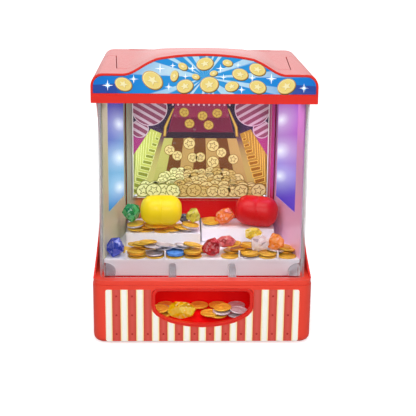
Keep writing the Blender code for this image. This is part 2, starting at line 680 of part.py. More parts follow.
def side_panel(name, side):
    """Side of the casing: waisted in height, swept back at the front, round at the rear."""
    shape = bmesh.new()
    bmesh.ops.create_grid(shape, x_segments=12, y_segments=12, size=0.5)
    corner_y = PANEL_REAR - PANEL_RADIUS
    for vert in shape.verts:
        along, up = vert.co.x + 0.5, vert.co.y + 0.5
        z = PANEL_Z[0] + (PANEL_Z[1] - PANEL_Z[0]) * up
        bend = (z - WAIST_Z) / 105.0
        if bend < 0:
            flank_x = WAIST_X + 4.3 * bend * bend
            front = WAIST_FRONT - 85.0 * abs(bend) ** 3
        else:
            flank_x = WAIST_X + 0.9 * bend * bend
            front = WAIST_FRONT - 42.0 * bend * bend
        corner_x = flank_x - PANEL_RADIUS
        if along <= FLANK_END:
            x, y = flank_x, front + (corner_y - front) * along / FLANK_END
        elif along <= CORNER_END:
            angle = math.radians(90 * (along - FLANK_END) / (CORNER_END - FLANK_END))
            x = corner_x + PANEL_RADIUS * math.cos(angle)
            y = corner_y + PANEL_RADIUS * math.sin(angle)
        else:
            share = (along - CORNER_END) / (1 - CORNER_END)
            x, y = corner_x + (PANEL_REAR_X - corner_x) * share, PANEL_REAR
        vert.co = (side * x, y, z)
    for face in shape.faces:
        face.normal_update()
    # the shell thickens inwards, so the faces must look outwards
    if (shape.faces[:][0].normal.x > 0) != (side > 0):
        bmesh.ops.reverse_faces(shape, faces=shape.faces)
    part = store(name, shape, RED)
    shell = part.modifiers.new("shell", 'SOLIDIFY')
    shell.thickness = 2.2 * MM
    shell.offset = -1.0
    part.data.shade_smooth()


for tag, side in SIDES:
    side_panel(f"side_panel_{tag}", side)

# Speaker grille slots: (height above the speaker's centre, half width)
GRILLE_ROWS = ((-14, 9), (-8.4, 14), (-2.8, 16), (2.8, 16), (8.4, 14), (14, 9))
COVER_SCREW_PROFILE = [(0, 1.5), (1.8, 1.4), (2.9, 0.8), (3.1, 0), (0, 0)]
grille = [rounded(span(half, SPEAKER_X), span(1.3, SPEAKER_Z + rise), 1.2, 3)
          for rise, half in GRILLE_ROWS]
outline("back_cover", [rounded(span(104.2), (80.3, 291.0), 2)] + grille, (115.6, 118.0),
        'XZ', RED)
for i, (x, z) in enumerate(((-96, 92), (96, 92), (-96, 280), (96, 280)), 1):
    turned(f"cover_screw_{i}", COVER_SCREW_PROFILE, STEEL, (x, 118.3, z), axis='Y', steps=12)

# =============================================================================
# Hood: front hood and roof panel, cut from the same shell
# =============================================================================
HOOD_WALL, ROOF_WALL = 2.4, 2.5
HOOD_REAR_RADIUS, HOOD_TOP_RADIUS = 14, 12
ROOF_RISE = 3.6
ARCH_HEIGHT = 22.8       # rise of the arch over the flat shoulders
ARCH_FOOT_X, ARCH_FULL_X = 92.0, 53.0
ARCH_REAR = 109.0


def arch(x):
    """Rise of the sign's top edge over its shoulders."""
    share = smooth01((ARCH_FOOT_X - abs(x)) / (ARCH_FOOT_X - ARCH_FULL_X))
    return share * (ARCH_HEIGHT - 6.3 * min(1.0, (abs(x) / 60.0)) ** 2)


def roof_rise(y):
    """The roof climbs a little from the sign to the rear."""
    return ROOF_RISE * (y - HOOD_FRONT) / (HOOD_REAR - HOOD_FRONT)


def hood_box(name, inset, front, low, top, mat=None):
    """Hood without its arch, rounded at the rear corners and the top rim."""
    rear = HOOD_REAR - inset
    shape, _ = block_shape(span(HOOD_HALF - inset), (front, rear), (low, top))
    bevel_edges(shape, [e for e in upright_edges(shape) if e.verts[0].co.y > rear - 1],
                HOOD_REAR_RADIUS - inset, 5)
    rim = [e for e in shape.edges if all(abs(v.co.z - top) < 1e-3 for v in e.verts)
           and not all(abs(v.co.y - front) < 1e-3 for v in e.verts)]
    bevel_edges(shape, rim, HOOD_TOP_RADIUS - inset, 5)
    for vert in shape.verts:
        if vert.co.z > low + 1:
            vert.co.z += roof_rise(vert.co.y)
    return closed(name, shape, mat, smooth=True)


def arch_solid(name, drop, half, front, rear, low):
    """The raised middle of the roof: full height at the sign, nearly flat at the rear."""
    shape = bmesh.new()
    bmesh.ops.create_grid(shape, x_segments=30, y_segments=6, size=0.5)
    extruded = bmesh.ops.extrude_face_region(shape, geom=shape.faces[:])
    top = {item for item in extruded["geom"] if isinstance(item, bmesh.types.BMVert)}
    for vert in shape.verts:
        x = 2 * half * vert.co.x
        y = front + (rear - front) * (vert.co.y + 0.5)
        back = (y + 117.0) / 226.0
        if back < 0.93:
            share = 1.0 - 0.74 * smooth01(back)
        else:
            share = 0.26 * (1.0 - (back - 0.93) / 0.07)
        top_z = HOOD_Z1 - 0.4 - drop + roof_rise(y) + arch(x) * max(0.0, share)
        vert.co = (x, y, top_z if vert in top else low)
    return closed(name, shape)


def hood_shell(name):
    part = hood_box(name, 0, HOOD_FRONT, HOOD_Z0, HOOD_Z1, RED)
    join(part, arch_solid("join_arch_" + name, 0.0, ARCH_FOOT_X - 1, HOOD_FRONT + 0.02,
                          ARCH_REAR, 312.0))
    cut(part, hood_box("cut_in_" + name, HOOD_WALL, -130, HOOD_Z0 - 9, HOOD_Z1 - ROOF_WALL))
    cut(part, arch_solid("cut_arch_" + name, ROOF_WALL, ARCH_FOOT_X - 3, -125.0,
                         ARCH_REAR - 3, 305.0))
    return part


def seam(grow):
    """Parting line of the roof: the rear panel reaches forward between the hood's two arms."""
    front_x, rear_x = 100.5 + grow, 107.5 + grow
    front_y, arm_y = -78.0 - grow, 38.0 - grow
    return [(-front_x, front_y), (front_x, front_y), (rear_x, arm_y), (150, arm_y),
            (150, 150), (-150, 150), (-150, arm_y), (-rear_x, arm_y)]


front_hood = hood_shell("front_hood")
cut(front_hood, outline("cut_front_hood", [seam(0.9)], (250, 400), 'XY'))
roof = hood_shell("roof_panel")
cut(roof, outline("cut_coin_slots", [slot((side * 82, 101), 10.4, 2.6) for _, side in SIDES],
                  (300, 345), 'XY'))
boolean(roof, outline("keep_roof_panel", [seam(0.0)], (251, 399), 'XY'), 'INTERSECT')

# Coin chutes, from a slot down and forward to behind the backdrop window: (y, z)
CHUTE_OUTER = [(104.0, 321.4), (104.0, 309.0), (26.5, 302.0), (26.5, 312.0)]
CHUTE_INNER = [(102.3, 330), (102.3, 311.0), (24.0, 303.8), (24.0, 330)]
for tag, side in SIDES:
    chute = outline(f"coin_chute_{tag}", [CHUTE_OUTER], (side * 68.5, side * 95.5), 'YZ', BLACK)
    cut(chute, outline(f"cut_chute_{tag}", [CHUTE_INNER], (side * 70.0, side * 94.0), 'YZ'))

# =============================================================================
# Sign and ceiling
# =============================================================================
LABEL_Z0 = 302.7         # lower edge of the sign's label
SIGN_HALF, SIGN_RADIUS = HOOD_HALF + 0.8, 14.0
SIGN_ARCH_X, SIGN_ARCH_STEPS = 100.0, 20


def sign_loop(inset, bottom):
    """Outline of the sign, offset inwards by inset, closed along a flat bottom."""
    right = [(SIGN_HALF, bottom)]
    right += arc(SIGN_HALF - SIGN_RADIUS, HOOD_Z1 - SIGN_RADIUS, SIGN_RADIUS, 0, 90, 6)
    for i in range(SIGN_ARCH_STEPS + 1):
        x = SIGN_ARCH_X * (1 - i / SIGN_ARCH_STEPS)
        right.append((x, HOOD_Z1 + arch(x)))
    path = right + [(-x, z) for x, z in right[-2::-1]]
    loop = [(SIGN_HALF - inset, bottom)]
    for before, (x, z), after in zip(path, path[1:], path[2:]):
        run, rise = after[0] - before[0], after[1] - before[1]
        length = math.hypot(run, rise)
        loop.append((x - inset * rise / length, z + inset * run / length))
    return loop + [(inset - SIGN_HALF, bottom)]


fascia = outline("sign_fascia", [sign_loop(0, HOOD_Z0)], (-118.2, -117.2), 'XZ', RED)
join(fascia, outline("join_fascia_rim", [sign_loop(0.02, HOOD_Z0 + 0.02),
                                         sign_loop(2.2, LABEL_Z0 - 0.6)],
                     (-119.5, -117.6), 'XZ'))
join(fascia, box("join_fascia_lip", span(HOOD_HALF + 0.7), (-120.0, -117.7),
                 (HOOD_Z0 - 0.02, LABEL_Z0 - 1.6)))
outline("sign_label", [sign_loop(2.8, LABEL_Z0)], (-118.8, -118.4), 'XZ', BLUE)
box("ceiling_panel", span(117.0), (-103.0, 21.6), (300.6, 302.0), WHITE)
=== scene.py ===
"""Toy coin pusher machine: looks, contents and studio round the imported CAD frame.

The machine stands on z = 0 and faces -Y, with +X to the right of someone facing it.
Nodes, studio and camera are in metres; artwork, coins, gems and capsules are in millimetres.
"""
import math
import random

import bmesh
import bpy
import numpy as np
from mathutils import Matrix, Vector

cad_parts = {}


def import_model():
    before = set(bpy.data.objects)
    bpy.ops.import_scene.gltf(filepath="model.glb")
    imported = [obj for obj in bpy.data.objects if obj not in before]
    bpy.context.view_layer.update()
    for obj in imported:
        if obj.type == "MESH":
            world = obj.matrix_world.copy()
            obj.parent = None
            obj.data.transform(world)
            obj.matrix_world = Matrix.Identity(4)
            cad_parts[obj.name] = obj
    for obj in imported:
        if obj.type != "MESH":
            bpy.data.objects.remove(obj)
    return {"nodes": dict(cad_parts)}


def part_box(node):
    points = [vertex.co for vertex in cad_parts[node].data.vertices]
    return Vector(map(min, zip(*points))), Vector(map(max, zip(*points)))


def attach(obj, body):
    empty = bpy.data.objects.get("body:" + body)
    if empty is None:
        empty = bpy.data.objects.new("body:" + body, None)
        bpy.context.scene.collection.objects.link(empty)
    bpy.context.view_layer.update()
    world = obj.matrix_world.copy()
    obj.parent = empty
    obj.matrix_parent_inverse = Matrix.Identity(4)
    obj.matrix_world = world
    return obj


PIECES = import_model()["nodes"]
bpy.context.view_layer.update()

MM = 0.001
SHARP_ANGLE = 32            # degrees; CAD pieces without rounded edges stay crisp above this
BEVEL_ANGLE = 28            # degrees; edges sharper than this are rounded
WORLD_STRENGTH = 0.36       # light from above; the sides give less
STRIPE_PITCH = 18.65        # mm, one white and one red stripe of the base label
COIN_R, COIN_THICK = 11.0, 1.7
TABLE_TOP = 96.0            # mm
WHITE = (1.0, 1.0, 1.0)
rng = random.Random(41)     # shared by the printed heap and the play coins, in that order


# =============================================================================
# colours and nodes
# =============================================================================
def srgb(*channels):
    """sRGB 0-255 to linear."""
    parts = [c / 255.0 for c in channels]
    return tuple(c / 12.92 if c <= 0.04045 else ((c + 0.055) / 1.055) ** 2.4 for c in parts)


def scaled(color, factor, lift=0.0):
    return tuple(min(1.0, c * factor + lift) for c in color)


class Nodes:
    """Adds nodes to a tree: plain inputs go by place, named ones with _ for a space."""

    def __init__(self, tree):
        self.tree = tree

    def put(self, socket, value):
        if isinstance(value, bpy.types.Node):
            value = value.outputs[0]
        if isinstance(value, bpy.types.NodeSocket):
            self.tree.links.new(value, socket)
        elif socket.type == 'RGBA':
            socket.default_value = (*value, 1.0)
        else:
            socket.default_value = value

    def add(self, kind, *by_place, **by_name):
        node = self.tree.nodes.new("ShaderNode" + kind)
        for i, value in enumerate(by_place):
            self.put(node.inputs[i], value)
        for name, value in by_name.items():
            self.put(node.inputs[name.replace("_", " ")], value)
        return node


class Material(Nodes):
    """A new material with an empty node tree, in object coordinates."""

    def __init__(self, name):
        self.material = bpy.data.materials.new(name)
        self.material.use_nodes = True
        super().__init__(self.material.node_tree)
        self.tree.nodes.clear()
        self.output = self.add("OutputMaterial")

    def coords(self):
        return self.add("TexCoord").outputs["Object"]

    def xyz(self):
        return tuple(self.add("SeparateXYZ", Vector=self.coords()).outputs)

    def noise(self, scale, detail=3.0, rough=0.5, vector=None):
        node = self.add("TexNoise", Vector=vector or self.coords(), Scale=scale, Detail=detail,
                        Roughness=rough)
        return node.outputs["Fac"]

    def scratches(self, stretch, turn, scale, detail, rough=0.5):
        """Noise drawn out along a slant."""
        slant = self.add("Mapping", Vector=self.coords(), Scale=stretch, Rotation=turn)
        return self.noise(scale, detail, rough, slant)

    def math(self, operation, first, second=0.0, clamp=False):
        node = self.add("Math", first, second, 0.0)
        node.operation = operation
        node.use_clamp = clamp
        return node.outputs[0]

    def plus(self, first, second):
        return self.math('ADD', first, second)

    def minus(self, first, second):
        return self.math('SUBTRACT', first, second)

    def times(self, first, second):
        return self.math('MULTIPLY', first, second)

    def length(self, first, second):
        squares = self.plus(self.times(first, first), self.times(second, second))
        return self.math('SQRT', squares)

    def remap(self, value, low, high, to_low=0.0, to_high=1.0):
        return self.add("MapRange", Value=value, From_Min=low, From_Max=high,
                        To_Min=to_low, To_Max=to_high).outputs[0]

    def mix(self, factor, first, second):
        node = self.add("Mix")
        node.data_type = 'RGBA'
        node.clamp_factor = True
        for place, value in ((0, factor), (6, first), (7, second)):
            self.put(node.inputs[place], value)
        return node.outputs[2]

    def mottle(self, color, other, low, high, amount, **noise):
        """Lay patches of another colour over a colour, by noise between low and high."""
        return self.mix(self.remap(self.noise(**noise), low, high, 0.0, amount), color, other)

    def ramp(self, value, stops):
        node = self.add("ValToRGB", Fac=value)
        elements = node.color_ramp.elements
        while len(elements) < len(stops):
            elements.new(0.5)
        for element, (position, color) in zip(elements, stops):
            element.position = position
            element.color = (*color, 1.0)
        return node.outputs[0]

    def bump(self, height, strength, distance):
        return self.add("Bump", Height=height, Strength=strength, Distance=distance)

    def principled(self, color, rough, **inputs):
        return self.add("BsdfPrincipled", Base_Color=color, Roughness=rough, **inputs)

    def blend(self, factor, first, second):
        return self.add("MixShader", factor, first, second)

    def surface(self, shader):
        self.put(self.output.inputs["Surface"], shader)
        return self.material


# =============================================================================
# general materials
# =============================================================================
def plastic(name, color, rough, var=0.05, coat=0.0, peel=0.03, spec=0.5, subsurface=0.0, glow=0.0):
    """Moulded plastic: faint flow marks in the colour, orange peel in the gloss, fine scuffs."""
    mat = Material(name)
    shade = mat.mottle(color, scaled(color, 0.72), low=0.35, high=0.7, amount=var * 4,
                       scale=9.0, detail=4.0, rough=0.6)
    shade = mat.mottle(shade, scaled(color, 1.3, 0.02), low=0.45, high=0.75, amount=var,
                       scale=900.0, rough=0.6)
    scuffs = mat.scratches((1.0, 6.0, 3.0), (0.4, 0.3, 0.5), scale=260.0, detail=6.0, rough=0.7)
    extras = {}
    if glow:
        extras.update(Emission_Color=shade, Emission_Strength=glow)
    if subsurface:
        extras.update(Subsurface_Weight=subsurface, Subsurface_Radius=(0.004, 0.003, 0.003))
    return mat.surface(mat.principled(
        shade, mat.remap(scuffs, 0.4, 0.75, rough, rough + 0.16),
        Normal=mat.bump(mat.noise(420.0, detail=2.0), strength=peel, distance=0.0004),
        Specular_IOR_Level=spec, Coat_Weight=coat, Coat_Roughness=0.08, **extras))


def zinc_steel():
    mat = Material("zinc_steel")
    color = (0.62, 0.62, 0.64)
    fine = mat.noise(1500.0, rough=0.6)
    shade = mat.mottle(color, scaled(color, 0.75), low=0.4, high=0.7, amount=0.35,
                       scale=240.0, detail=4.0, rough=0.6)
    return mat.surface(mat.principled(shade, mat.remap(fine, 0.3, 0.7, 0.25, 0.40), Metallic=1.0,
                                      Normal=mat.bump(fine, strength=0.05, distance=0.0002)))


def clear_sheet(name, tint, edge, gloss, haze):
    """Light passes straight through, with gloss by angle; seen edge-on it turns white with a
    painted sheen that glows a little, and faint milky haze lies over it.
    """
    mat = Material(name)
    fresnel = mat.add("Fresnel", IOR=1.49)
    facing = mat.add("LayerWeight", Blend=0.32).outputs["Facing"]
    smear = mat.noise(26.0, detail=4.0, rough=0.6)
    through = mat.add("BsdfTransparent",
                      Color=mat.mix(mat.remap(facing, 0.6, 1.0, 0.0, 0.8), tint, edge))
    shine = mat.add("BsdfGlossy", Color=WHITE, Roughness=mat.remap(smear, 0.3, 0.7, 0.03, 0.10))
    # painted sheen and haze: a white diffuse that also glows a little
    haze_and_sheen_shader = mat.add("AddShader", mat.add("BsdfDiffuse", Color=(0.80, 0.80, 0.81)),
                   mat.add("Emission", Color=(0.94, 0.92, 0.95), Strength=0.30))
    sheet = mat.blend(mat.remap(fresnel, 0.052, 0.9, 0.004, gloss), through, shine)
    # the edge-on whitening is painted sheen; the smear adds faint milky haze
    rim = mat.times(mat.math('POWER', mat.remap(facing, 0.50, 1.0), 1.5), 0.72)
    haze_and_sheen_amount = mat.math('ADD', rim, mat.remap(smear, 0.45, 0.8, 0.0, haze), clamp=True)
    return mat.surface(mat.blend(haze_and_sheen_amount, sheet, haze_and_sheen_shader))


def silver_wall(name, tint, high=None):
    """Silvered side wall with the lamps' light painted on: paler low down, darker towards the top;
    high is the painted lamp colour it takes on towards the top.
    """
    mat = Material(name)
    z = mat.xyz()[2]
    # painted light and shade: paler low down, darker high up
    stops = [(0.0, scaled(tint, 1.9)), (0.25, scaled(tint, 1.45)), (0.6, tint),
             (1.0, scaled(tint, 0.75))]
    shade = mat.ramp(mat.remap(z, 0.09, 0.30), stops)
    # painted lamp colour high up
    if high:
        shade = mat.mix(mat.remap(z, 0.135, 0.255, 0.0, 0.9), shade, high)
    shade = mat.mottle(shade, scaled(tint, 1.5), low=0.4, high=0.7, amount=0.2,
                       scale=1200.0, detail=2.0)
    grain = mat.bump(mat.noise(700.0, detail=2.0), strength=0.08, distance=0.0003)
    return mat.surface(mat.principled(shade, 0.34, Metallic=0.12, Normal=grain))


def lens(name, stops, lamps, lamp_y):
    """Frosted light window: a vertical run of colour with a white bloom at each lamp height."""
    mat = Material(name)
    low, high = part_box("light_lens_left")
    x, y, z = mat.xyz()
    color = mat.ramp(mat.remap(z, low.z, high.z), stops)
    glow = None
    for i, lamp_z in enumerate(lamps):
        # blooms are long ovals that lean with y; the middle one is wider
        rise = mat.plus(mat.minus(z, lamp_z), mat.times(mat.minus(y, lamp_y), 0.22))
        along = mat.times(mat.minus(y, lamp_y), 0.27)
        distance = mat.length(rise, along)
        core_size = 0.0158 if i == 1 else 0.0135
        core = mat.math('POWER', mat.remap(distance, 0.0, core_size, 1.0, 0.0), 0.85)
        halo = mat.times(mat.math('POWER', mat.remap(distance, 0.0, 0.030, 1.0, 0.0), 1.4), 0.62)
        bloom = mat.math('MAXIMUM', core, halo)
        glow = bloom if glow is None else mat.math('MAXIMUM', glow, bloom)
    lit = mat.mix(mat.math('MULTIPLY', glow, 0.92, clamp=True), color, (0.93, 0.97, 1.0))
    frost = mat.noise(1800.0, detail=2.0)
    strength = mat.times(mat.remap(frost, 0.2, 0.8, 0.97, 1.03),
                         mat.plus(0.85, mat.times(glow, 0.45)))
    emission = mat.add("Emission", Color=lit, Strength=strength)
    skin = mat.principled(color, 0.35, Normal=mat.bump(frost, strength=0.1, distance=0.0002))
    return mat.surface(mat.blend(0.22, emission, skin))


def inner_wall():
    """Deep red, with the coloured lamps' light painted on at both sides, and a faint painted glow.
    """
    mat = Material("deep_red_lamp_painted")
    x, y, z = mat.xyz()
    base = mat.mottle(srgb(190, 0, 5), srgb(206, 14, 16), low=0.45, high=0.75, amount=0.05,
                      scale=900.0, rough=0.6)
    # painted lamp light: greys, tans and orange fading into the red at the left; magenta to purple
    # at the right, high up only
    left = mat.ramp(mat.remap(x, -0.0975, -0.040), [
        (0.0, srgb(168, 166, 144)), (0.16, srgb(164, 150, 124)), (0.24, srgb(186, 120, 76)),
        (0.50, srgb(206, 70, 36)), (0.9, srgb(220, 8, 10))])
    right = mat.ramp(mat.remap(x, 0.080, 0.0975), [
        (0.0, srgb(220, 4, 12)), (0.45, srgb(192, 34, 84)), (1.0, srgb(184, 74, 150))])
    high = mat.remap(z, 0.135, 0.160)
    shade = mat.mix(mat.remap(x, -0.040, -0.041), base, left)
    shade = mat.mix(mat.times(mat.remap(x, 0.080, 0.081), high), shade, right)
    peel = mat.bump(mat.noise(420.0, detail=2.0), strength=0.03, distance=0.0004)
    # faint emission: painted glow
    return mat.surface(mat.principled(shade, 0.40, Normal=peel, Specular_IOR_Level=0.12,
                                      Emission_Color=shade, Emission_Strength=0.05))


# =============================================================================
# CAD pieces
# =============================================================================
def sharp_by_angle():
    """Node group that keeps an edge crisp where its faces meet at more than SHARP_ANGLE."""
    group = bpy.data.node_groups.new("sharp_by_angle", 'GeometryNodeTree')
    for direction in ('INPUT', 'OUTPUT'):
        group.interface.new_socket("Geometry", in_out=direction,
                                   socket_type='NodeSocketGeometry')
    source, result = group.nodes.new("NodeGroupInput"), group.nodes.new("NodeGroupOutput")
    fold = group.nodes.new("GeometryNodeInputMeshEdgeAngle")
    over = group.nodes.new("ShaderNodeMath")
    over.operation = 'GREATER_THAN'
    over.inputs[1].default_value = math.radians(SHARP_ANGLE)
    crisp = group.nodes.new("GeometryNodeSetShadeSmooth")
    crisp.domain = 'EDGE'
    crisp.inputs["Shade Smooth"].default_value = False
    group.links.new(source.outputs[0], crisp.inputs["Geometry"])
    group.links.new(fold.outputs["Unsigned Angle"], over.inputs[0])
    group.links.new(over.outputs[0], crisp.inputs["Selection"])
    group.links.new(crisp.outputs[0], result.inputs[0])
    return group


CRISP = sharp_by_angle()


def finish_cad(piece, material, rounding=0.0, segments=2):
    """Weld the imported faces, round the sharp edges by rounding mm, shade the curves smooth."""
    obj = PIECES[piece]
    obj.data.materials.clear()
    obj.data.materials.append(material)
    obj.modifiers.new("weld", 'WELD').merge_threshold = 0.00001
    if rounding:
        bevel = obj.modifiers.new("edge_round", 'BEVEL')
        bevel.width = rounding * MM
        bevel.segments = segments
        bevel.limit_method = 'ANGLE'
        bevel.angle_limit = math.radians(BEVEL_ANGLE)
        bevel.use_clamp_overlap = True
        bevel.harden_normals = False
    obj.data.shade_smooth()
    if not rounding:
        obj.modifiers.new("crisp", 'NODES').node_group = CRISP
    normals = obj.modifiers.new("normals", 'WEIGHTED_NORMAL')
    normals.keep_sharp = True
    normals.weight = 60


def finish_pieces():
    gloss = dict(rough=0.30, coat=0.12, peel=0.05, spec=0.32)
    red = plastic("gloss_red", srgb(238, 42, 30), **gloss)
    red_base = plastic("gloss_red_base", srgb(246, 70, 50), glow=0.06, **gloss)
    red_in = plastic("deep_red", srgb(224, 4, 9), 0.40, glow=0.10, spec=0.12)
    white = plastic("pusher_white", srgb(240, 237, 243), 0.35, coat=0.1, var=0.03, subsurface=0.05)
    black = plastic("black_plastic", srgb(38, 38, 40), 0.45, peel=0.3)
    nylon = plastic("nylon", srgb(238, 232, 214), 0.5)
    rubber = plastic("foot_rubber", srgb(48, 46, 45), 0.8, peel=0.5)
    cells = plastic("cell_jacket", srgb(70, 78, 96), 0.3, coat=0.4)
    board = plastic("board_green", srgb(30, 110, 60), 0.4, coat=0.3)
    steel = zinc_steel()
    clear = clear_sheet("clear_sheet", tint=(0.985, 0.992, 0.995), edge=(0.90, 0.91, 0.92),
                        gloss=0.45, haze=0.006)
    rib = clear_sheet("clear_rib", tint=(0.80, 0.80, 0.82), edge=(0.45, 0.44, 0.46),
                      gloss=0.5, haze=0.35)
    pane = clear_sheet("clear_pane", tint=(0.992, 0.992, 0.985), edge=(0.86, 0.84, 0.88),
                       gloss=0.225, haze=0.004)
    wire = plastic("wire_black", srgb(30, 30, 32), 0.5)
    # the olive left wall and the pink right wall, purple high up, are the lamps' coloured light
    # painted on
    wall_left = silver_wall("silver_wall_left", srgb(168, 164, 138))
    wall_right = silver_wall("silver_wall_right", srgb(192, 148, 174), high=srgb(176, 92, 176))
    lens_left = lens("lens_left", [
        (0.0, srgb(70, 150, 220)), (0.20, srgb(104, 188, 238)), (0.42, srgb(120, 180, 232)),
        (0.60, srgb(100, 120, 208)), (0.78, srgb(76, 74, 178)), (1.0, srgb(66, 46, 150))],
        lamps=(0.246, 0.203, 0.165), lamp_y=0.0)
    lens_right = lens("lens_right", [
        (0.0, srgb(96, 70, 206)), (0.16, srgb(106, 80, 212)), (0.30, srgb(150, 122, 232)),
        (0.5, srgb(184, 128, 216)), (0.72, srgb(184, 92, 204)), (1.0, srgb(158, 62, 186))],
        lamps=(0.251, 0.211, 0.178), lamp_y=0.010)

    # material, edge rounding in mm, pieces
    finishes = (
        (red_base, 0.35, "base_tub base_floor battery_door"),
        (red_base, 0.0, "base_deck"),
        (red, 0.35, "side_panel_left side_panel_right back_cover"),
        (red, 0.0, "front_hood roof_panel"),
        (red, 0.5, "sign_fascia"),
        (red_in, 0.0, "prize_tray"),
        (inner_wall(), 0.3, "inner_back_wall"),
        (white, 0.45, "coin_table pusher_left pusher_right"),
        (white, 0.2, "ceiling_panel"),
        (black, 0.2, "coin_chute_left coin_chute_right"),
        (wall_left, 0.25, "light_wall_left"),
        (wall_right, 0.25, "light_wall_right"),
        (clear, 0.0, "front_window"),
        (rib, 0.3, "window_rib_left window_rib_right"),
        (rib, 0.3, "window_rib_corner_left window_rib_corner_right"),
        (pane, 0.0, "backdrop_window"),
        (lens_left, 0.2, "light_lens_left"),
        (lens_right, 0.2, "light_lens_right"),
        (black, 0.25, "battery_box power_switch_body power_slider gearbox_plate speaker"),
        (wire, 0.0, "wire_harness"),
        (rubber, 0.0, "foot_1 foot_2 foot_3 foot_4"),
        (steel, 0.0, "battery_door_screw pane_screw_left pane_screw_right motor_pinion"),
        (steel, 0.0, "drive_motor cover_screw_1 cover_screw_2 cover_screw_3 cover_screw_4"),
        (board, 0.1, "circuit_board led_board_left led_board_right"),
        (cells, 0.0, "battery_1 battery_2 battery_3"),
        (nylon, 0.2, "rocker_arm crank_gear idler_gear"),
    )
    for material, rounding, pieces in finishes:
        for piece in pieces.split():
            finish_cad(piece, material, rounding)
    finish_cad("prize_bezel", red, 0.9, segments=3)


# =============================================================================
# studio
# =============================================================================
def floor_paper():
    """Lit paper where the camera sees it; it throws less light on the front than the back."""
    mat = Material("floor_paper")
    paper = mat.mottle((0.93, 0.93, 0.93), (0.91, 0.91, 0.912), low=0.3, high=0.7, amount=0.3,
                       scale=3.0)
    seen = mat.principled(paper, 0.7, Specular_IOR_Level=0.0, Emission_Color=WHITE,
                          Emission_Strength=0.55)
    x, y, z = mat.xyz()
    strength = mat.times(mat.remap(y, 0.55, 1.1, 0.0, 1.15),
                         mat.remap(mat.math('ABSOLUTE', x), 0.38, 0.75, 1.0, 0.12))
    bounce = mat.principled((0.50, 0.50, 0.50), 0.9, Specular_IOR_Level=0.0,
                            Emission_Color=WHITE, Emission_Strength=strength)
    camera_ray = mat.add("LightPath").outputs["Is Camera Ray"]
    return mat.surface(mat.blend(camera_ray, bounce, seen))


def floor():
    """Floor that sweeps up behind the machine."""
    half_width, front, sweep, steps, top = 4.0, -3.0, 0.9, 12, 3.5
    profile = [(front, 0.0), (sweep, 0.0)]
    for i in range(1, steps + 1):
        angle = math.radians(90 * i / steps)
        profile.append((sweep + sweep * math.sin(angle), sweep - sweep * math.cos(angle)))
    profile.append((2 * sweep, top))
    points = [(x, y, z) for y, z in profile for x in (-half_width, half_width)]
    faces = [(2 * i, 2 * i + 1, 2 * i + 3, 2 * i + 2) for i in range(len(profile) - 1)]
    mesh = bpy.data.meshes.new("floor")
    mesh.from_pydata(points, [], faces)
    mesh.materials.append(floor_paper())
    mesh.shade_smooth()
    obj = bpy.data.objects.new("floor", mesh)
    bpy.context.scene.collection.objects.link(obj)


def world():
    """White to the camera; as a light, bright overhead and dimmer at the sides."""
    studio = bpy.data.worlds.new("studio")
    bpy.context.scene.world = studio
    studio.use_nodes = True
    nodes = Nodes(studio.node_tree)
    direction = nodes.add("SeparateXYZ", nodes.add("TexCoord").outputs["Generated"])
    sideways = nodes.add("Math", direction.outputs["X"])
    sideways.operation = 'ABSOLUTE'
    light = nodes.add("MapRange", Value=sideways, From_Min=0.45, From_Max=0.95,
                      To_Min=WORLD_STRENGTH, To_Max=WORLD_STRENGTH * 0.45)
    camera_ray = nodes.add("LightPath").outputs["Is Camera Ray"]
    background = nodes.tree.nodes["Background"]
    nodes.put(background.inputs["Color"], WHITE)
    nodes.put(background.inputs["Strength"],
              nodes.add("Mix", Factor=camera_ray, A=light, B=1.0))


# name, place, aimed at, width, height, power, colour; the last four are inside the machine
LIGHTS = (
    ("key", (-0.9, -1.3, 1.5), (0, 0, 0.15), 0.9, 0.9, 8.6, WHITE),
    ("fill", (1.1, -1.3, 0.9), (0, 0, 0.15), 1.0, 1.0, 5.6, WHITE),
    ("top", (0.0, 0.35, 1.6), (0, 0.05, 0.2), 1.2, 1.2, 3.0, WHITE),
    ("front", (0.0, -1.75, 1.00), (0, 0, 0.15), 0.6, 0.6, 11.0, WHITE),
    ("hood_lamp", (0.0, -0.075, 0.289), (0.0, -0.04, 0.10), 0.20, 0.05, 0.24, (1.0, 0.98, 0.97)),
    ("glow_left", (-0.094, 0.0, 0.215), (0.10, 0.0, 0.16), 0.02, 0.10, 0.024, (0.55, 0.80, 1.0)),
    ("glow_right", (0.094, 0.0, 0.215), (-0.10, 0.0, 0.16), 0.02, 0.10, 0.034, (0.85, 0.45, 1.0)),
    ("tray_glow", (0.0, -0.105, 0.0655), (0.0, -0.080, 0.03), 0.09, 0.012, 0.006, (1.0, 0.95, 0.9)),
)


def lights():
    for name, place, target, width, height, power, color in LIGHTS:
        light = bpy.data.lights.new(name, 'AREA')
        light.energy = power
        light.color = color
        light.shape = 'RECTANGLE'
        light.size = width
        light.size_y = height
        obj = bpy.data.objects.new(name, light)
        obj.location = place
        aim = Vector(target) - Vector(place)
        obj.rotation_euler = aim.to_track_quat('-Z', 'Y').to_euler()
        bpy.context.scene.collection.objects.link(obj)


def camera():
    scene = bpy.context.scene
    scene.view_settings.view_transform = 'Standard'
    scene.view_settings.look = 'None'
    scene.view_settings.exposure = 0.0
    data = bpy.data.cameras.new("camera")
    data.sensor_width = 36.0
    data.lens = 86.5557692
    data.clip_start, data.clip_end = 0.05, 20.0
    obj = bpy.data.objects.new("camera", data)
    down, turn, roll = 0.262, 0.036, 0.012      # radians
    forward = Vector((math.sin(turn) * math.cos(down), math.cos(turn) * math.cos(down),
                      -math.sin(down)))
    right = Vector((math.cos(turn), -math.sin(turn), 0))
    up = right.cross(forward)
    rolled_right = right * math.cos(roll) + up * math.sin(roll)
    rolled_up = -right * math.sin(roll) + up * math.cos(roll)
    matrix = Matrix((rolled_right, rolled_up, -forward)).transposed().to_4x4()
    matrix.translation = Vector((-0.0353, -1.2402, 0.4705))
    obj.matrix_world = matrix
    scene.collection.objects.link(obj)
    scene.camera = obj


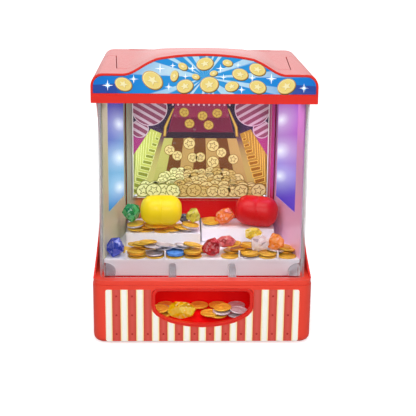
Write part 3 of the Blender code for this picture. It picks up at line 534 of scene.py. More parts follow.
# =============================================================================
# mesh and print helpers
# =============================================================================
def make(name, bm, materials, body="casing", sharp_angle=None):
    """Turn a bmesh into an object that rides on a body; shaded smooth if given an angle."""
    mesh = bpy.data.meshes.new(name)
    bm.to_mesh(mesh)
    bm.free()
    for material in materials:
        mesh.materials.append(material)
    if sharp_angle:
        mesh.shade_smooth()
        mesh.set_sharp_from_angle(angle=math.radians(sharp_angle))
    obj = bpy.data.objects.new(name, mesh)
    bpy.context.scene.collection.objects.link(obj)
    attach(obj, body)


class Art:
    """Printed artwork: flat inked shapes facing -Y, each layer a hair proud of the last."""

    def __init__(self, panel, step, inks):
        self.bm = bmesh.new()
        self.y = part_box(panel)[0].y / MM
        self.step = step
        self.inks = inks
        self.used = []

    def draw(self, name, layer, points):
        """points: (x, z) in mm, star-shaped about their mean or convex."""
        if name not in self.used:
            self.used.append(name)
        slot = self.used.index(name)
        y = self.y - self.step * layer
        face = self.bm.faces.new([self.bm.verts.new((x * MM, y * MM, z * MM)) for x, z in points])
        face.normal_update()
        if face.normal.y > 0:
            face.normal_flip()
        face.material_index = slot
        for part in bmesh.ops.extrude_face_region(self.bm, geom=[face])["geom"]:
            if isinstance(part, bmesh.types.BMVert):
                part.co.y += self.step * 0.9 * MM
            elif isinstance(part, bmesh.types.BMFace):
                part.material_index = slot

    def done(self, name):
        bmesh.ops.recalc_face_normals(self.bm, faces=self.bm.faces)
        make(name, self.bm, [self.inks[key] for key in self.used])


def placed(points, cx, cz, tilt):
    """Tilt points about the origin, then move them to (cx, cz)."""
    cos, sin = math.cos(tilt), math.sin(tilt)
    return [(cx + x * cos - z * sin, cz + x * sin + z * cos) for x, z in points]


def ellipse(cx, cz, rx, rz, tilt=0.0, steps=28):
    angles = [2 * math.pi * i / steps for i in range(steps)]
    return placed([(rx * math.cos(a), rz * math.sin(a)) for a in angles], cx, cz, tilt)


def star(cx, cz, rx, rz, waist=0.45, tips=5, turn=math.pi / 2, tilt=0.0):
    """waist: radius of the notches as a share of the tips'."""
    points = []
    for i in range(2 * tips):
        angle = turn + math.pi * i / tips
        reach = waist if i % 2 else 1.0
        points.append((reach * math.cos(angle) * rx, reach * math.sin(angle) * rz))
    return placed(points, cx, cz, tilt)


def ink(name, color, rough=0.35, grain=0.12, glow=0.0):
    """Printing ink under gloss film, with a fine dot grain."""
    mat = Material(name)
    shade = mat.mottle(color, scaled(color, 0.7), low=0.4, high=0.7, amount=grain,
                       scale=1600.0, detail=2.0, rough=0.6)
    shade = mat.mottle(shade, scaled(color, 1.25, 0.01), low=0.4, high=0.7, amount=grain,
                       scale=60.0, rough=0.6)
    extras = dict(Emission_Color=color, Emission_Strength=glow) if glow else {}
    return mat.surface(mat.principled(shade, rough, Specular_IOR_Level=0.15, **extras))


# =============================================================================
# sign artwork
# =============================================================================
# x, z, half width, half height, tilt in degrees
SIGN_COINS = (
    (-91.5, 313.1, 10.0, 7.4, -22), (-59.0, 317.8, 12.6, 9.4, -36), (-34.5, 322.8, 4.4, 6.4, -15),
    (-25.0, 333.4, 5.6, 3.9, -28), (-10.4, 322.0, 4.6, 3.2, -14), (-0.3, 336.6, 9.7, 6.9, 14),
    (25.0, 337.6, 5.8, 3.8, -12), (9.5, 326.0, 4.5, 3.1, 14), (4.8, 313.3, 10.6, 8.8, 8),
    (-22.6, 311.2, 9.6, 7.6, 18), (39.4, 325.0, 9.2, 6.5, -12), (58.7, 330.6, 9.6, 6.6, -20),
    (30.2, 311.4, 8.0, 5.7, 16), (59.5, 310.9, 9.8, 7.2, -18), (92.0, 311.9, 10.8, 8.3, 26),
)
# x, z, reach
SPARKLES = (
    (-109.1, 311.7, 6.4), (-79.9, 318.9, 5.2), (-50.4, 330.8, 6.0), (-36.2, 334.3, 3.6),
    (-14.3, 331.4, 4.6), (-22.1, 322.3, 3.8), (-40.6, 310.3, 4.8), (17.3, 331.4, 5.0),
    (36.8, 335.4, 3.6), (20.7, 321.6, 4.0), (53.0, 321.1, 4.8), (74.7, 320.4, 6.4),
    (41.4, 307.6, 4.6), (111.8, 310.0, 5.4),
)


def sign_print():
    """Pale rays of uneven width on blue, with indigo wedges in the lower corners."""
    mat = Material("sign_print")
    x, y, z = mat.xyz()
    rise = mat.minus(z, 0.3215)
    angle = mat.math('ARCTAN2', rise, x)
    radius = mat.length(x, rise)
    wobble = mat.times(mat.math('SINE', mat.times(angle, 5.0)), 1.9)
    broad = mat.math('SINE', mat.plus(mat.times(angle, 17.0), wobble))
    narrow = mat.math('SINE', mat.plus(mat.times(angle, 33.0), 0.8))
    rays = mat.remap(mat.plus(broad, mat.times(narrow, 0.35)), 0.15, 0.55)
    fade = mat.times(mat.remap(radius, 0.035, 0.110, 1.0, 0.22),
                     mat.remap(radius, 0.007, 0.013, 0.15, 1.0))
    blue = mat.ramp(mat.remap(mat.math('ABSOLUTE', x), 0.0, 0.127), [
        (0.0, srgb(52, 160, 226)), (0.35, srgb(36, 150, 226)),
        (0.75, srgb(18, 132, 222)), (1.0, srgb(16, 118, 214))])
    pale = mat.mottle(srgb(176, 224, 250), srgb(214, 240, 252), low=0.3, high=0.7, amount=1.0,
                      scale=30.0, rough=0.6)
    color = mat.mix(mat.times(rays, fade), blue, pale)
    edge = mat.plus(mat.times(mat.math('ABSOLUTE', x), -0.06), 0.3199)
    below = mat.remap(mat.minus(edge, z), -0.0002, 0.0006)
    outside = mat.remap(mat.math('ABSOLUTE', x), 0.088, 0.100)
    wedge = mat.times(mat.times(below, outside), 0.9)
    color = mat.mix(wedge, color, srgb(44, 66, 158))
    color = mat.mottle(color, (0.02, 0.25, 0.6), low=0.4, high=0.7, amount=0.10,
                       scale=1500.0, detail=2.0)
    return mat.surface(mat.principled(color, 0.36, Specular_IOR_Level=0.2))


def sign_art():
    finish_cad("sign_label", sign_print())
    art = Art("sign_label", 0.03, {
        "face": ink("coin_print_face", srgb(246, 222, 130)),
        "rim": ink("coin_print_rim", srgb(226, 180, 88)),
        "line": ink("coin_print_line", srgb(214, 170, 86)),
        "edge": ink("coin_print_edge", srgb(96, 84, 60)),
        "light": ink("coin_print_light", srgb(255, 243, 190)),
        "sparkle": ink("sparkle_white", WHITE, grain=0.0, glow=0.25),
        "halo": ink("sparkle_halo", srgb(150, 212, 250), grain=0.05),
    })
    for cx, cz, rx, rz, degrees in SIGN_COINS:
        tilt = math.radians(degrees)
        art.draw("edge", 1, ellipse(cx + 0.5, cz - 0.7, rx + 0.25, rz + 0.25, tilt))
        art.draw("rim", 2, ellipse(cx, cz, rx, rz, tilt))
        art.draw("light", 3, ellipse(cx - 0.15, cz + 0.15, rx * 0.90, rz * 0.90, tilt))
        art.draw("face", 4, ellipse(cx, cz, rx * 0.84, rz * 0.84, tilt))
        art.draw("line", 5, star(cx + 0.2, cz - 0.2, rx * 0.60, rz * 0.60, 0.42, tilt=tilt))
        art.draw("light", 6, star(cx, cz, rx * 0.55, rz * 0.55, 0.42, tilt=tilt))
    for cx, cz, reach in SPARKLES:
        art.draw("halo", 7, star(cx, cz, reach * 0.52, reach * 0.52, 0.55, 4, math.pi / 4))
        art.draw("sparkle", 8, star(cx, cz, reach, reach, 0.16, 4))
        art.draw("sparkle", 9, ellipse(cx, cz, reach * 0.20, reach * 0.20, steps=12))
    art.done("sign_artwork")


# =============================================================================
# striped label of the base
# =============================================================================
def stripe_print():
    mat = Material("stripe_print")
    x, y, z = mat.xyz()
    pitch = STRIPE_PITCH * MM
    # distance from the middle of the nearest white stripe
    across = mat.math('PINGPONG', mat.plus(x, pitch * 20), pitch / 2)
    is_red = mat.remap(across, 0.00425, 0.00455)
    cream = mat.remap(across, 0.0020, 0.0042)
    whites = mat.mix(cream, srgb(255, 254, 246), srgb(252, 224, 150))
    middle = mat.remap(across, 0.0046, 0.0093)
    reds = mat.mix(middle, srgb(206, 74, 60), srgb(222, 92, 84))
    reds = mat.mottle(reds, srgb(214, 70, 62), low=0.3, high=0.7, amount=0.5,
                      scale=40.0, detail=4.0, rough=0.6)
    color = mat.mix(is_red, whites, reds)
    color = mat.mottle(color, (0.5, 0.3, 0.2), low=0.4, high=0.7, amount=0.06,
                       scale=1500.0, detail=2.0)
    return mat.surface(mat.principled(color, 0.36, Specular_IOR_Level=0.2,
                                      Emission_Color=color, Emission_Strength=0.09))


def stripe_art():
    finish_cad("stripe_label", stripe_print())
    art = Art("stripe_label", 0.03, {"star": ink("stripe_star", srgb(186, 44, 44))})
    for stripe in range(-6, 6):
        cx = (stripe + 0.5) * STRIPE_PITCH
        for cz in (61.0, 37.0, 13.0):
            # the middle stripes have a star at the foot only
            if abs(cx) >= 66 or cz <= 20:
                art.draw("star", 1, star(cx, cz, 1.9, 1.9))
    art.done("stripe_artwork")


# =============================================================================
# printed backdrop behind the clear pane
# =============================================================================
BACKDROP_INKS = {
    "maroon": (150, 52, 82), "maroon_dark": (118, 36, 62), "band": (52, 36, 48),
    "gold": (214, 180, 84), "gold_dark": (150, 104, 40), "brown": (118, 70, 34),
    "tan": (198, 162, 96), "cream": (236, 216, 146), "cream_line": (150, 112, 48),
    "straw": (218, 190, 112), "lime_deep": (150, 156, 54), "amber_deep": (158, 100, 24),
    "lime_floor": (196, 192, 104), "lime_line": (146, 146, 62), "pane_edge_highlight": (236, 232, 226),
    "lime": (204, 206, 96), "lime_light": (236, 238, 158), "lime_face": (250, 248, 178),
    "amber": (180, 136, 52), "amber_light": (240, 198, 84), "drape_trim": (208, 180, 188),
    "night": (52, 38, 60), "bulb": (232, 190, 196),
}
PUSHER_COINS = ((-21.6, 256.6), (2.0, 252.2), (20.8, 255.7), (-14.6, 242.1), (10.0, 240.3))
# x, z, radius
FALLING_COINS = (
    (-14.8, 216.1, 8.2), (15.9, 213.3, 8.2), (-40.1, 207.3, 7.0), (-30.2, 199.9, 7.0),
    (-10.3, 197.3, 7.0), (-0.4, 198.0, 7.0), (26.9, 204.2, 7.0), (16.2, 192.0, 8.2),
    (42.4, 195.6, 7.0),
)


def backdrop_print():
    mat = Material("backdrop_print")
    x, y, z = mat.xyz()
    side = mat.remap(x, -0.088, 0.088)
    upward = mat.ramp(mat.remap(z, 0.1435, 0.300), [
        (0.0, srgb(224, 214, 134)), (0.22, srgb(204, 186, 108)), (0.42, srgb(160, 132, 84)),
        (0.50, srgb(112, 72, 84)), (0.58, srgb(66, 46, 72)), (1.0, srgb(40, 30, 54))])
    # the green-yellow at the left of the lower part is the left lamps' light, painted on; the warm
    # right end is the print
    tint = mat.ramp(side, [(0.0, srgb(206, 214, 120)), (0.35, srgb(214, 200, 118)),
                           (1.0, srgb(190, 146, 66))])
    color = mat.mix(mat.remap(z, 0.225, 0.165, 0.0, 0.6), upward, tint)
    # rosy patch at each side, about z = 0.213
    height = mat.math('ABSOLUTE', mat.minus(z, 0.213))
    rosy = mat.times(mat.remap(mat.math('ABSOLUTE', x), 0.066, 0.076),
                     mat.remap(height, 0.016, 0.022, 1.0, 0.0))
    color = mat.mix(rosy, color, srgb(168, 62, 118))
    return mat.surface(mat.principled(color, 0.45, Specular_IOR_Level=0.1))


def drape_print():
    """Slanting stripes, mirrored left and right."""
    mat = Material("backdrop_drape")
    x, y, z = mat.xyz()
    slant = mat.plus(mat.times(mat.math('ABSOLUTE', x), -0.50), mat.times(z, 0.866))
    stripe = mat.math('PINGPONG', mat.plus(slant, 1.0), 0.0041)
    color = mat.mix(mat.remap(stripe, 0.00225, 0.0026), srgb(140, 70, 92), srgb(206, 178, 184))
    color = mat.mottle(color, srgb(140, 90, 110), low=0.35, high=0.7, amount=0.25, scale=1400.0)
    return mat.surface(mat.principled(color, 0.45, Specular_IOR_Level=0.1))


def print_floor(art):
    """Striped floor of the printed scene, fanning out downwards."""
    top_left, top_right, top = -47.0, 46.0, 224.0
    foot_left, foot_right, foot = -66.0, 66.0, 150.0
    cuts = [0.0, 0.12, 0.27, 0.42, 0.57, 0.72, 0.87, 1.0]
    # the lime strip at the left is the left lamps' light, painted on
    inks = ("lime_floor", "brown", "tan", "brown", "tan", "brown", "tan")
    for name, a, b in zip(inks, cuts, cuts[1:]):
        art.draw(name, 1, [
            (top_left + (top_right - top_left) * a, top),
            (top_left + (top_right - top_left) * b, top),
            (foot_left + (foot_right - foot_left) * b, foot),
            (foot_left + (foot_right - foot_left) * a, foot)])


def print_pusher(art):
    """Night behind, pusher top with a bracket at each side and a row of bulbs."""
    art.draw("night", 1, [(-60, 300), (60, 300), (52, 232), (-52, 232)])
    art.draw("maroon", 2, [(-28.5, 285), (28.5, 285), (33.0, 266), (42.0, 230), (-42.0, 230),
                           (-33.5, 266)])
    art.draw("maroon_dark", 3, [(-36.0, 250), (36.0, 250), (42.0, 230), (-42.0, 230)])
    art.draw("band", 4, [(-42.0, 231), (42.0, 231), (46.5, 223), (-47.5, 223)])
    bracket = ((34.0, 262), (36.0, 262), (47.5, 238), (48.8, 225), (44.8, 225), (43.8, 236))
    bracket_face = ((34.6, 261), (35.8, 261), (46.6, 238), (47.6, 226), (45.6, 226), (44.4, 237))
    for side in (-1, 1):
        art.draw("gold_dark", 5, [(side * x, z) for x, z in bracket])
        art.draw("gold", 6, [(side * x, z) for x, z in bracket_face])
    for i in range(12):
        art.draw("bulb", 7, ellipse(-36.0 + 6.6 * i, 266.4, 1.25, 1.25, steps=12))


def print_coin(art, cx, cz, radius, layer, number, flat, face="cream", line="cream_line"):
    """A coin with a star on it; its number turns it, flat is its height over its width."""
    tilt = math.radians((number * 47) % 60 - 30)
    turn = 1.2 + number
    high = radius * flat
    art.draw(line, layer, ellipse(cx, cz, radius, high, tilt, 24))
    art.draw(face, layer + 1, ellipse(cx, cz, radius * 0.88, high * 0.88, tilt, 24))
    art.draw(line, layer + 2, star(cx, cz, radius * 0.74, high * 0.74, 0.48, 5, turn, tilt))
    art.draw(face, layer + 3, star(cx, cz, radius * 0.54, high * 0.54, 0.44, 5, turn, tilt))


def print_railing(art, side, fill, line, dark):
    """A tinted band that fans out downwards, with a run of square frames down it."""
    band = ((50.5, 229), (64.5, 235), (87.9, 199), (87.9, 146), (79.0, 146), (60.0, 200))
    art.draw(fill, 2, [(side * x, z) for x, z in band])

    def clipped(points, edge, foot):
        return [(side * min(edge, x), max(foot, z)) for x, z in points]

    # each frame leans up to the outside; a post climbs from its outer corner to the top edge
    insets = ((1.3, -0.8), (-1.0, -1.2), (-1.2, 0.8), (1.0, 1.2))
    frames = 10
    for i in range(frames):
        k = i / (frames - 1.0)
        cx, cz = 56.0 + 27.0 * k ** 0.95, 222.0 - 70.5 * k
        half_w, half_h, lean = 2.6 + 4.6 * math.sin(2.2 * k), 1.9 + 1.7 * k, 0.9 + 1.1 * k
        outer = [(cx - half_w, cz + half_h - lean), (cx + half_w, cz + half_h + lean),
                 (cx + half_w + 0.6, cz - half_h + lean), (cx - half_w + 1.4, cz - half_h - lean)]
        border = 0.6 + 0.5 * k
        inner = [(x + border * u, z + border * v) for (x, z), (u, v) in zip(outer, insets)]
        art.draw(line, 5, clipped(outer, 87.4, 144.6))
        art.draw(dark, 6, clipped(inner, 87.0, 144.8))
        x0, z0 = min(cx + half_w, 87.0), cz + half_h + lean
        x1 = x0 - 2.2
        z1 = min(231.0, 234.0 - 1.54 * (x1 - 64.5))
        run, rise = x1 - x0, z1 - z0
        share = 0.5 * (0.75 + 0.3 * k) / math.hypot(run, rise)
        u, v = rise * share, run * share
        post = [(x0 - u, z0 + v), (x1 - u, z1 + v), (x1 + u, z1 - v), (x0 + u, z0 - v)]
        art.draw(line, 3, clipped(post, 87.6, 144.6))


def print_heap(art):
    """Heap of coins at the foot, drawn from the back rows forward."""
    heap = []
    for row in range(7):
        row_z = 181.0 - 5.4 * row
        size = 6.8 + 0.40 * row
        half = 44.0 + 7.0 * row
        count = int(2 * half / (size * 1.25))
        for i in range(count):
            x = -half + 2 * half * (i + 0.5 * (row % 2)) / (count - 0.5)
            bow = -7.0 * (abs(x) / 50.0) ** 2 if row < 4 else 0.0
            dip = -5.0 * math.exp(-((x + 2.0) / 9.0) ** 2) if row < 2 else 0.0
            if abs(x) < 82:
                heap.append((x + rng.uniform(-1.6, 1.6),
                             row_z + bow + dip + rng.uniform(-1.8, 1.8),
                             size * rng.uniform(0.86, 1.18)))
    heap.sort(key=lambda coin: -coin[1])
    for i, (cx, cz, radius) in enumerate(heap):
        cz = max(cz, 144.3 + radius * 0.92)
        cx = min(max(cx, -87.0 + radius), 87.0 - radius)
        face = "cream" if i % 3 else "straw"
        # coins at the left are lime: the left lamps' light, painted on
        if cx < -28 + (cz - 160) * 0.3:
            face = "lime_face"
        line = "lime_line" if cx < -28 else "cream_line"
        print_coin(art, cx, cz, radius, 13 + (i * 40) // len(heap), i, 0.86, face, line)


def print_drapes(art):
    """Round drapes in the upper corners."""
    for side in (-1, 1):
        for cx, cz, radius, layer in ((78.5, 235.0, 11.6, 55), (66.0, 262.0, 23.0, 57)):
            for name, size, up in (("drape_trim", radius, 0), ("drape", radius - 1.1, 1)):
                art.draw(name, layer + up, [(side * min(87.8, x), z) for x, z in
                                            ellipse(cx, cz, size, size, steps=40)])


def backdrop_art():
    finish_cad("backdrop_panel", backdrop_print())
    inks = {name: ink("backdrop_" + name, srgb(*color), rough=0.45, grain=0.18)
            for name, color in BACKDROP_INKS.items()}
    inks["drape"] = drape_print()
    art = Art("backdrop_panel", 0.022, inks)
    print_floor(art)
    print_pusher(art)
    for i, (cx, cz) in enumerate(PUSHER_COINS):
        print_coin(art, cx, cz, 6.6, 7, i, 0.94, "gold", "gold_dark")
    # the left railing's lime is the left lamps' light, painted on; the amber at the right is the
    # print
    print_railing(art, -1, "lime", "lime_light", "lime_deep")
    print_railing(art, 1, "amber", "amber_light", "amber_deep")
    for i, (cx, cz, radius) in enumerate(FALLING_COINS):
        print_coin(art, cx, cz, radius, 8, i, 0.97)
    print_heap(art)
    print_drapes(art)
    # painted highlight of the pane's edge, as a pale line at the left, right and foot: x0, x1, z0,
    # z1
    for x0, x1, z0, z1 in ((-87.9, -86.9, 143.7, 298), (86.9, 87.9, 143.7, 298),
                           (-87.9, 87.9, 143.6, 144.5)):
        art.draw("pane_edge_highlight", 60, [(x0, z0), (x1, z0), (x1, z1), (x0, z1)])
    art.done("backdrop_artwork")


# =============================================================================
# play coins
# =============================================================================
def coin_mesh():
    """A moulded play coin: raised rim, sunk field and a star on each face."""
    steps, tip, notch = 40, 5.6, 2.5
    notch_x, notch_y = notch * math.cos(math.radians(36)), notch * math.sin(math.radians(36))

    def star_radius(i):
        """Radius of the straight edge between a tip and the notch four steps on."""
        k = min(i % 8, 8 - i % 8)
        angle = math.radians(9 * k)
        return -tip * notch_y / (math.sin(angle) * (notch_x - tip) - math.cos(angle) * notch_y)

    face = COIN_THICK / 2
    # follows the star, radius (or distance off the star), height
    rings = [(True, -0.25, face - 0.02), (True, 0.25, face - 0.30), (False, 8.6, face - 0.32),
             (False, 8.95, face), (False, 10.55, face), (False, COIN_R, face - 0.35)]
    rings += [(is_star, radius, -z) for is_star, radius, z in rings[::-1]]
    verts = [(0, 0, face - 0.02)]
    for is_star, size, z in rings:
        for i in range(steps):
            angle = math.radians(9 * i)
            radius = star_radius(i) + size if is_star else size
            verts.append((radius * math.cos(angle), radius * math.sin(angle), z))
    verts.append((0, 0, -face + 0.02))
    faces = []
    for i in range(steps):
        j = (i + 1) % steps
        faces.append((0, 1 + i, 1 + j))
        for k in range(len(rings) - 1):
            a, b = 1 + k * steps, 1 + (k + 1) * steps
            faces.append((a + i, b + i, b + j, a + j))
        end = 1 + (len(rings) - 1) * steps
        faces.append((end + i, len(verts) - 1, end + j))
    return np.array(verts, float), faces


def coin_material(name, color, metallic=0.5):
    mat = Material(name)
    fine = mat.noise(700.0, detail=4.0, rough=0.6)
    scratch = mat.scratches((1.0, 9.0, 4.0), (0.3, 0.9, 0.6), scale=420.0, detail=5.0)
    shade = mat.mottle(color, scaled(color, 0.70), low=0.35, high=0.7, amount=0.45,
                       scale=110.0, rough=0.6)
    shade = mat.mix(mat.remap(fine, 0.5, 0.75, 0.0, 0.35), shade, scaled(color, 1.4, 0.05))
    return mat.surface(mat.principled(
        shade, mat.remap(scratch, 0.35, 0.7, 0.30, 0.48), Metallic=metallic,
        Normal=mat.bump(fine, strength=0.12, distance=0.00025)))


COIN_VERTS, COIN_FACES = coin_mesh()
COIN_KINDS = {
    "g": coin_material("play_gold", srgb(240, 190, 60)),
    "o": coin_material("play_gold_deep", srgb(230, 158, 26)),
    "s": coin_material("play_silver", srgb(214, 206, 212), metallic=0.55),
    "b": coin_material("play_blue", srgb(84, 148, 228), metallic=0.25),
}


class Pile:
    """Coins laid one by one on a 1 mm height map, each at the lowest flat rest it can find.

    The ground under them is at floor, and climbs by rise per mm behind y = rise_from.
    """

    def __init__(self, body, left, right, front, back, floor, rise=0.0, rise_from=0.0):
        self.body = body
        self.grid_x, self.grid_y = np.meshgrid(np.arange(left, right + 1),
                                               np.arange(front, back + 1), indexing="ij")
        self.height = floor + rise * (self.grid_y - rise_from)
        self.coins = []
        self.kept = []

    def keep(self, x, y, radius):
        """Keep later coins off a round place."""
        self.kept.append((x, y, radius))

    def within(self, x, y, radius):
        return (self.grid_x - x) ** 2 + (self.grid_y - y) ** 2 <= radius ** 2

    def place(self, x, y, kind, spin, tilt_max):
        if any(math.hypot(x - a, y - b) < r + COIN_R * 0.92 for a, b, r in self.kept):
            return
        under = self.within(x, y, COIN_R * 0.97)
        dx, dy = self.grid_x[under] - x, self.grid_y[under] - y
        heights = self.height[under]
        # centre height and slopes along x and y: a coarse search, then a finer one
        best = (heights.max(), 0.0, 0.0)
        for span, steps in ((tilt_max, 7), (tilt_max / 6, 5)):
            middle_x, middle_y = best[1], best[2]
            for a in np.linspace(-span, span, steps):
                for b in np.linspace(-span, span, steps):
                    u, v = middle_x + a, middle_y + b
                    if u * u + v * v > tilt_max ** 2:
                        continue
                    level = (heights - u * dx - v * dy).max()
                    if level < best[0] - 1e-6:
                        best = (level, u, v)
        level, u, v = best
        level += 0.06
        normal = Vector((-u, -v, 1.0)).normalized()
        self.height[under] = np.maximum(heights, level + u * dx + v * dy + COIN_THICK / normal.z)
        self.coins.append((Vector((x, y, level)) + normal * (COIN_THICK / 2), normal, spin, kind))

    def lay(self, tilt_max, coins):
        """coins: (x, y, kind)."""
        for x, y, kind in coins:
            self.place(x, y, kind, rng.uniform(0, 6), tilt_max)

    def top(self, x, y, radius):
        return float(self.height[self.within(x, y, radius)].max())

    def rest_capsule(self, x, y, half, radius):
        """Height of the axis of a capsule that lies along x."""
        across = self.grid_y - y
        under = (np.abs(self.grid_x - x) < half * 0.8) & (np.abs(across) < radius * 0.98)
        return float((self.height[under] + np.sqrt(radius ** 2 - across[under] ** 2)).max())

    def mesh(self, name):
        bm = bmesh.new()
        order = list(COIN_KINDS)
        for centre, normal, spin, kind in self.coins:
            turn = normal.to_track_quat('Z', 'Y').to_matrix() @ Matrix.Rotation(spin, 3, 'Z')
            points = COIN_VERTS @ np.array(turn).T + np.array(centre)
            verts = [bm.verts.new(point * MM) for point in points]
            for corners in COIN_FACES:
                bm.faces.new([verts[i] for i in corners]).material_index = order.index(kind)
        bmesh.ops.recalc_face_normals(bm, faces=bm.faces)
        make(name, bm, COIN_KINDS.values(), self.body, sharp_angle=38)


# =============================================================================
# capsules and gems
# =============================================================================
def capsule(name, color, body, centre, half, radius, yaw=0.0, roll=0.0, pitch=0.0):
    """Two-part prize capsule: a barrel along x with soft ends and a seam round its middle."""
    segments, corner_steps = 48, 9
    corner = radius * 0.80
    end = []
    for i in range(corner_steps + 1):
        angle = math.radians(90 * i / corner_steps)
        end.append((half - corner * (1 - math.cos(angle)),
                    radius - corner * (1 - math.sin(angle))))
    # (x, radius) from the +x end to the -x end
    outline = [(half, 0.0), (half, (radius - corner) * 0.5)] + end
    outline += [(x, radius * share) for x, share in (
        (half * 0.25, 1.004), (0.8, 1.006), (0.4, 1.004), (0.15, 0.992), (-0.15, 0.992),
        (-0.4, 1.0), (-half * 0.25, 0.998))]
    outline += [(-x, r * 0.985) for x, r in end[::-1]]
    outline += [(-half, (radius - corner) * 0.48), (-half, 0.0)]
    bm = bmesh.new()
    rings = []
    for x, r in outline:
        angles = [2 * math.pi * j / segments for j in range(segments)] if r else [0.0]
        rings.append([bm.verts.new((x, r * math.cos(a), r * math.sin(a))) for a in angles])
    for a, b in zip(rings, rings[1:]):
        for j in range(segments):
            k = (j + 1) % segments
            if len(a) == 1:
                bm.faces.new((a[0], b[j], b[k]))
            elif len(b) == 1:
                bm.faces.new((a[j], b[0], a[k]))
            else:
                bm.faces.new((a[j], b[j], b[k], a[k]))
    bmesh.ops.recalc_face_normals(bm, faces=bm.faces)
    turn = (Matrix.Rotation(yaw, 4, 'Z') @ Matrix.Rotation(pitch, 4, 'Y')
            @ Matrix.Rotation(roll, 4, 'X'))
    matrix = (Matrix.Translation(Vector(centre) * MM) @ turn
              @ Matrix.Diagonal((MM, MM, MM, 1)))
    bmesh.ops.transform(bm, matrix=matrix, verts=bm.verts)
    shell = plastic(name + "_shell", color, 0.36, coat=0.06, var=0.03, spec=0.22, glow=0.30)
    make(name, bm, [shell], body, sharp_angle=50)


def acrylic(name, color, seed):
    """Part glass, part colour broken into shards by place and by facet, with painted highlights,
    shade and glints and a faint painted glow.
    """
    mat = Material(name)
    facet = mat.add("NewGeometry").outputs["True Normal"]
    cells = mat.add("TexVoronoi", Vector=mat.coords(), Scale=330.0).outputs["Color"]
    # a random value for each facet direction, used for painted highlight and shade
    facet_light_cells = mat.add("TexVoronoi", Vector=facet, Scale=3.1 + (seed % 7) * 0.17).outputs["Color"]
    inside = mat.add("SeparateColor", cells).outputs[0]
    flat = mat.add("SeparateColor", facet_light_cells).outputs[0]
    shard_and_facet_light = mat.plus(mat.times(inside, 0.4), mat.times(flat, 0.6))
    pale, deep, painted_glint = scaled(color, 1.25, 0.16), scaled(color, 0.42), scaled(color, 0.6, 0.55)
    # painted light: pale and deep shards, mostly picked by facet, are painted highlight and shade;
    # the brightest place cells are painted glints
    shade = mat.mix(mat.remap(shard_and_facet_light, 0.52, 0.78, 0.0, 0.9), color, pale)
    shade = mat.mix(mat.remap(shard_and_facet_light, 0.42, 0.20, 0.0, 0.9), shade, deep)
    shade = mat.mix(mat.remap(inside, 0.86, 0.93, 0.0, 0.7), shade, painted_glint)
    glass = mat.add("BsdfGlass", Color=tuple(c ** 0.55 for c in color), Roughness=0.03, IOR=1.46)
    # faint emission: painted glow
    lit = mat.principled(shade, 0.10, Coat_Weight=0.6, Emission_Color=shade,
                         Emission_Strength=0.16)
    body = mat.blend(0.35, lit, mat.add("BsdfTranslucent", Color=shade))
    return mat.surface(mat.blend(0.62, glass, body))


def set_gem(pile, name, color, x, y, size, seed, squash, z=None):
    """Stand a clear nugget of flat facets on what is under it; later coins keep off."""
    if z is None:
        z = pile.top(x, y, size * 0.30)
    draws = random.Random(seed)
    bm = bmesh.new()
    corners = 17
    for i in range(corners):
        # spread evenly, then pushed about, so that facets differ in size and no side is bare
        rise = 1.0 - 2.0 * (i + 0.5) / corners
        angle = 2.399963 * i + draws.uniform(-0.45, 0.45)
        around = math.sqrt(1.0 - rise * rise)
        reach = draws.uniform(0.74, 1.14)
        bm.verts.new((around * math.cos(angle) * reach, around * math.sin(angle) * reach * 0.94,
                      rise * reach * squash))
    bmesh.ops.convex_hull(bm, input=bm.verts)
    bmesh.ops.delete(bm, geom=[v for v in bm.verts if not v.link_faces], context='VERTS')
    bmesh.ops.recalc_face_normals(bm, faces=bm.faces)
    bmesh.ops.bevel(bm, geom=bm.edges[:], offset=0.03, segments=1, profile=0.5, affect='EDGES')
    low = min(v.co.z for v in bm.verts)
    scale = size / 2 * MM
    matrix = (Matrix.Translation(Vector((x, y, z)) * MM + Vector((0, 0, -low * scale)))
              @ Matrix.Diagonal((scale, scale, scale, 1)))
    bmesh.ops.transform(bm, matrix=matrix, verts=bm.verts)
    make(name, bm, [acrylic(name + "_acrylic", color, seed)], pile.body, sharp_angle=12)
    pile.keep(x, y, size * 0.42)


# =============================================================================
# contents; coins are (x, y, kind), laid in order
# =============================================================================
def fill_left_pusher(top):
    """Kept clear of the back wall over its whole stroke."""
    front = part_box("pusher_left")[0].y / MM
    pile = Pile("pusher_left", -95, 0, int(front) - 6, 12, top)
    pile.lay(0.02, ((-71, -21, "g"), (-48.5, -24, "g"), (-26, -24.5, "s"), (-60, -4, "g"),
                    (-37.5, -5, "g"), (-82, -4, "g"), (-14.5, -6, "s")))
    pile.lay(0.06, ((-82, -24, "g"), (-69, -20, "o"), (-60, -22.5, "g"), (-37, -23.5, "g"),
                    (-51, -24, "o")))
    x, y, radius = -50.5, -20.9, 19.0
    axis_z = min(max(pile.rest_capsule(x, y, 25.5, radius), 139.4), 140.2)
    capsule("capsule_yellow", srgb(206, 178, 0), pile.body, (x, y, axis_z + 0.25),
            half=25.9, radius=radius, roll=0.2)
    pile.keep(x, -14.0, 4.0)
    pile.lay(0.16, ((-83, -23, "s"), (-19, -22, "s"), (-24, -25, "g"), (-14, -24, "s"),
                    (-82.5, -22, "g"), (-13.5, -22, "g")))
    set_gem(pile, "gem_green", srgb(40, 168, 92), -88.5, -18.0, size=25.0, seed=3, squash=1.0)
    set_gem(pile, "gem_night", srgb(48, 54, 96), -22.0, -8.0, size=15.0, seed=5, squash=0.9)
    set_gem(pile, "gem_lime", srgb(214, 208, 66), -9.5, -16.0, size=20.5, seed=8, squash=0.95)
    pile.mesh("coins_left_pusher")


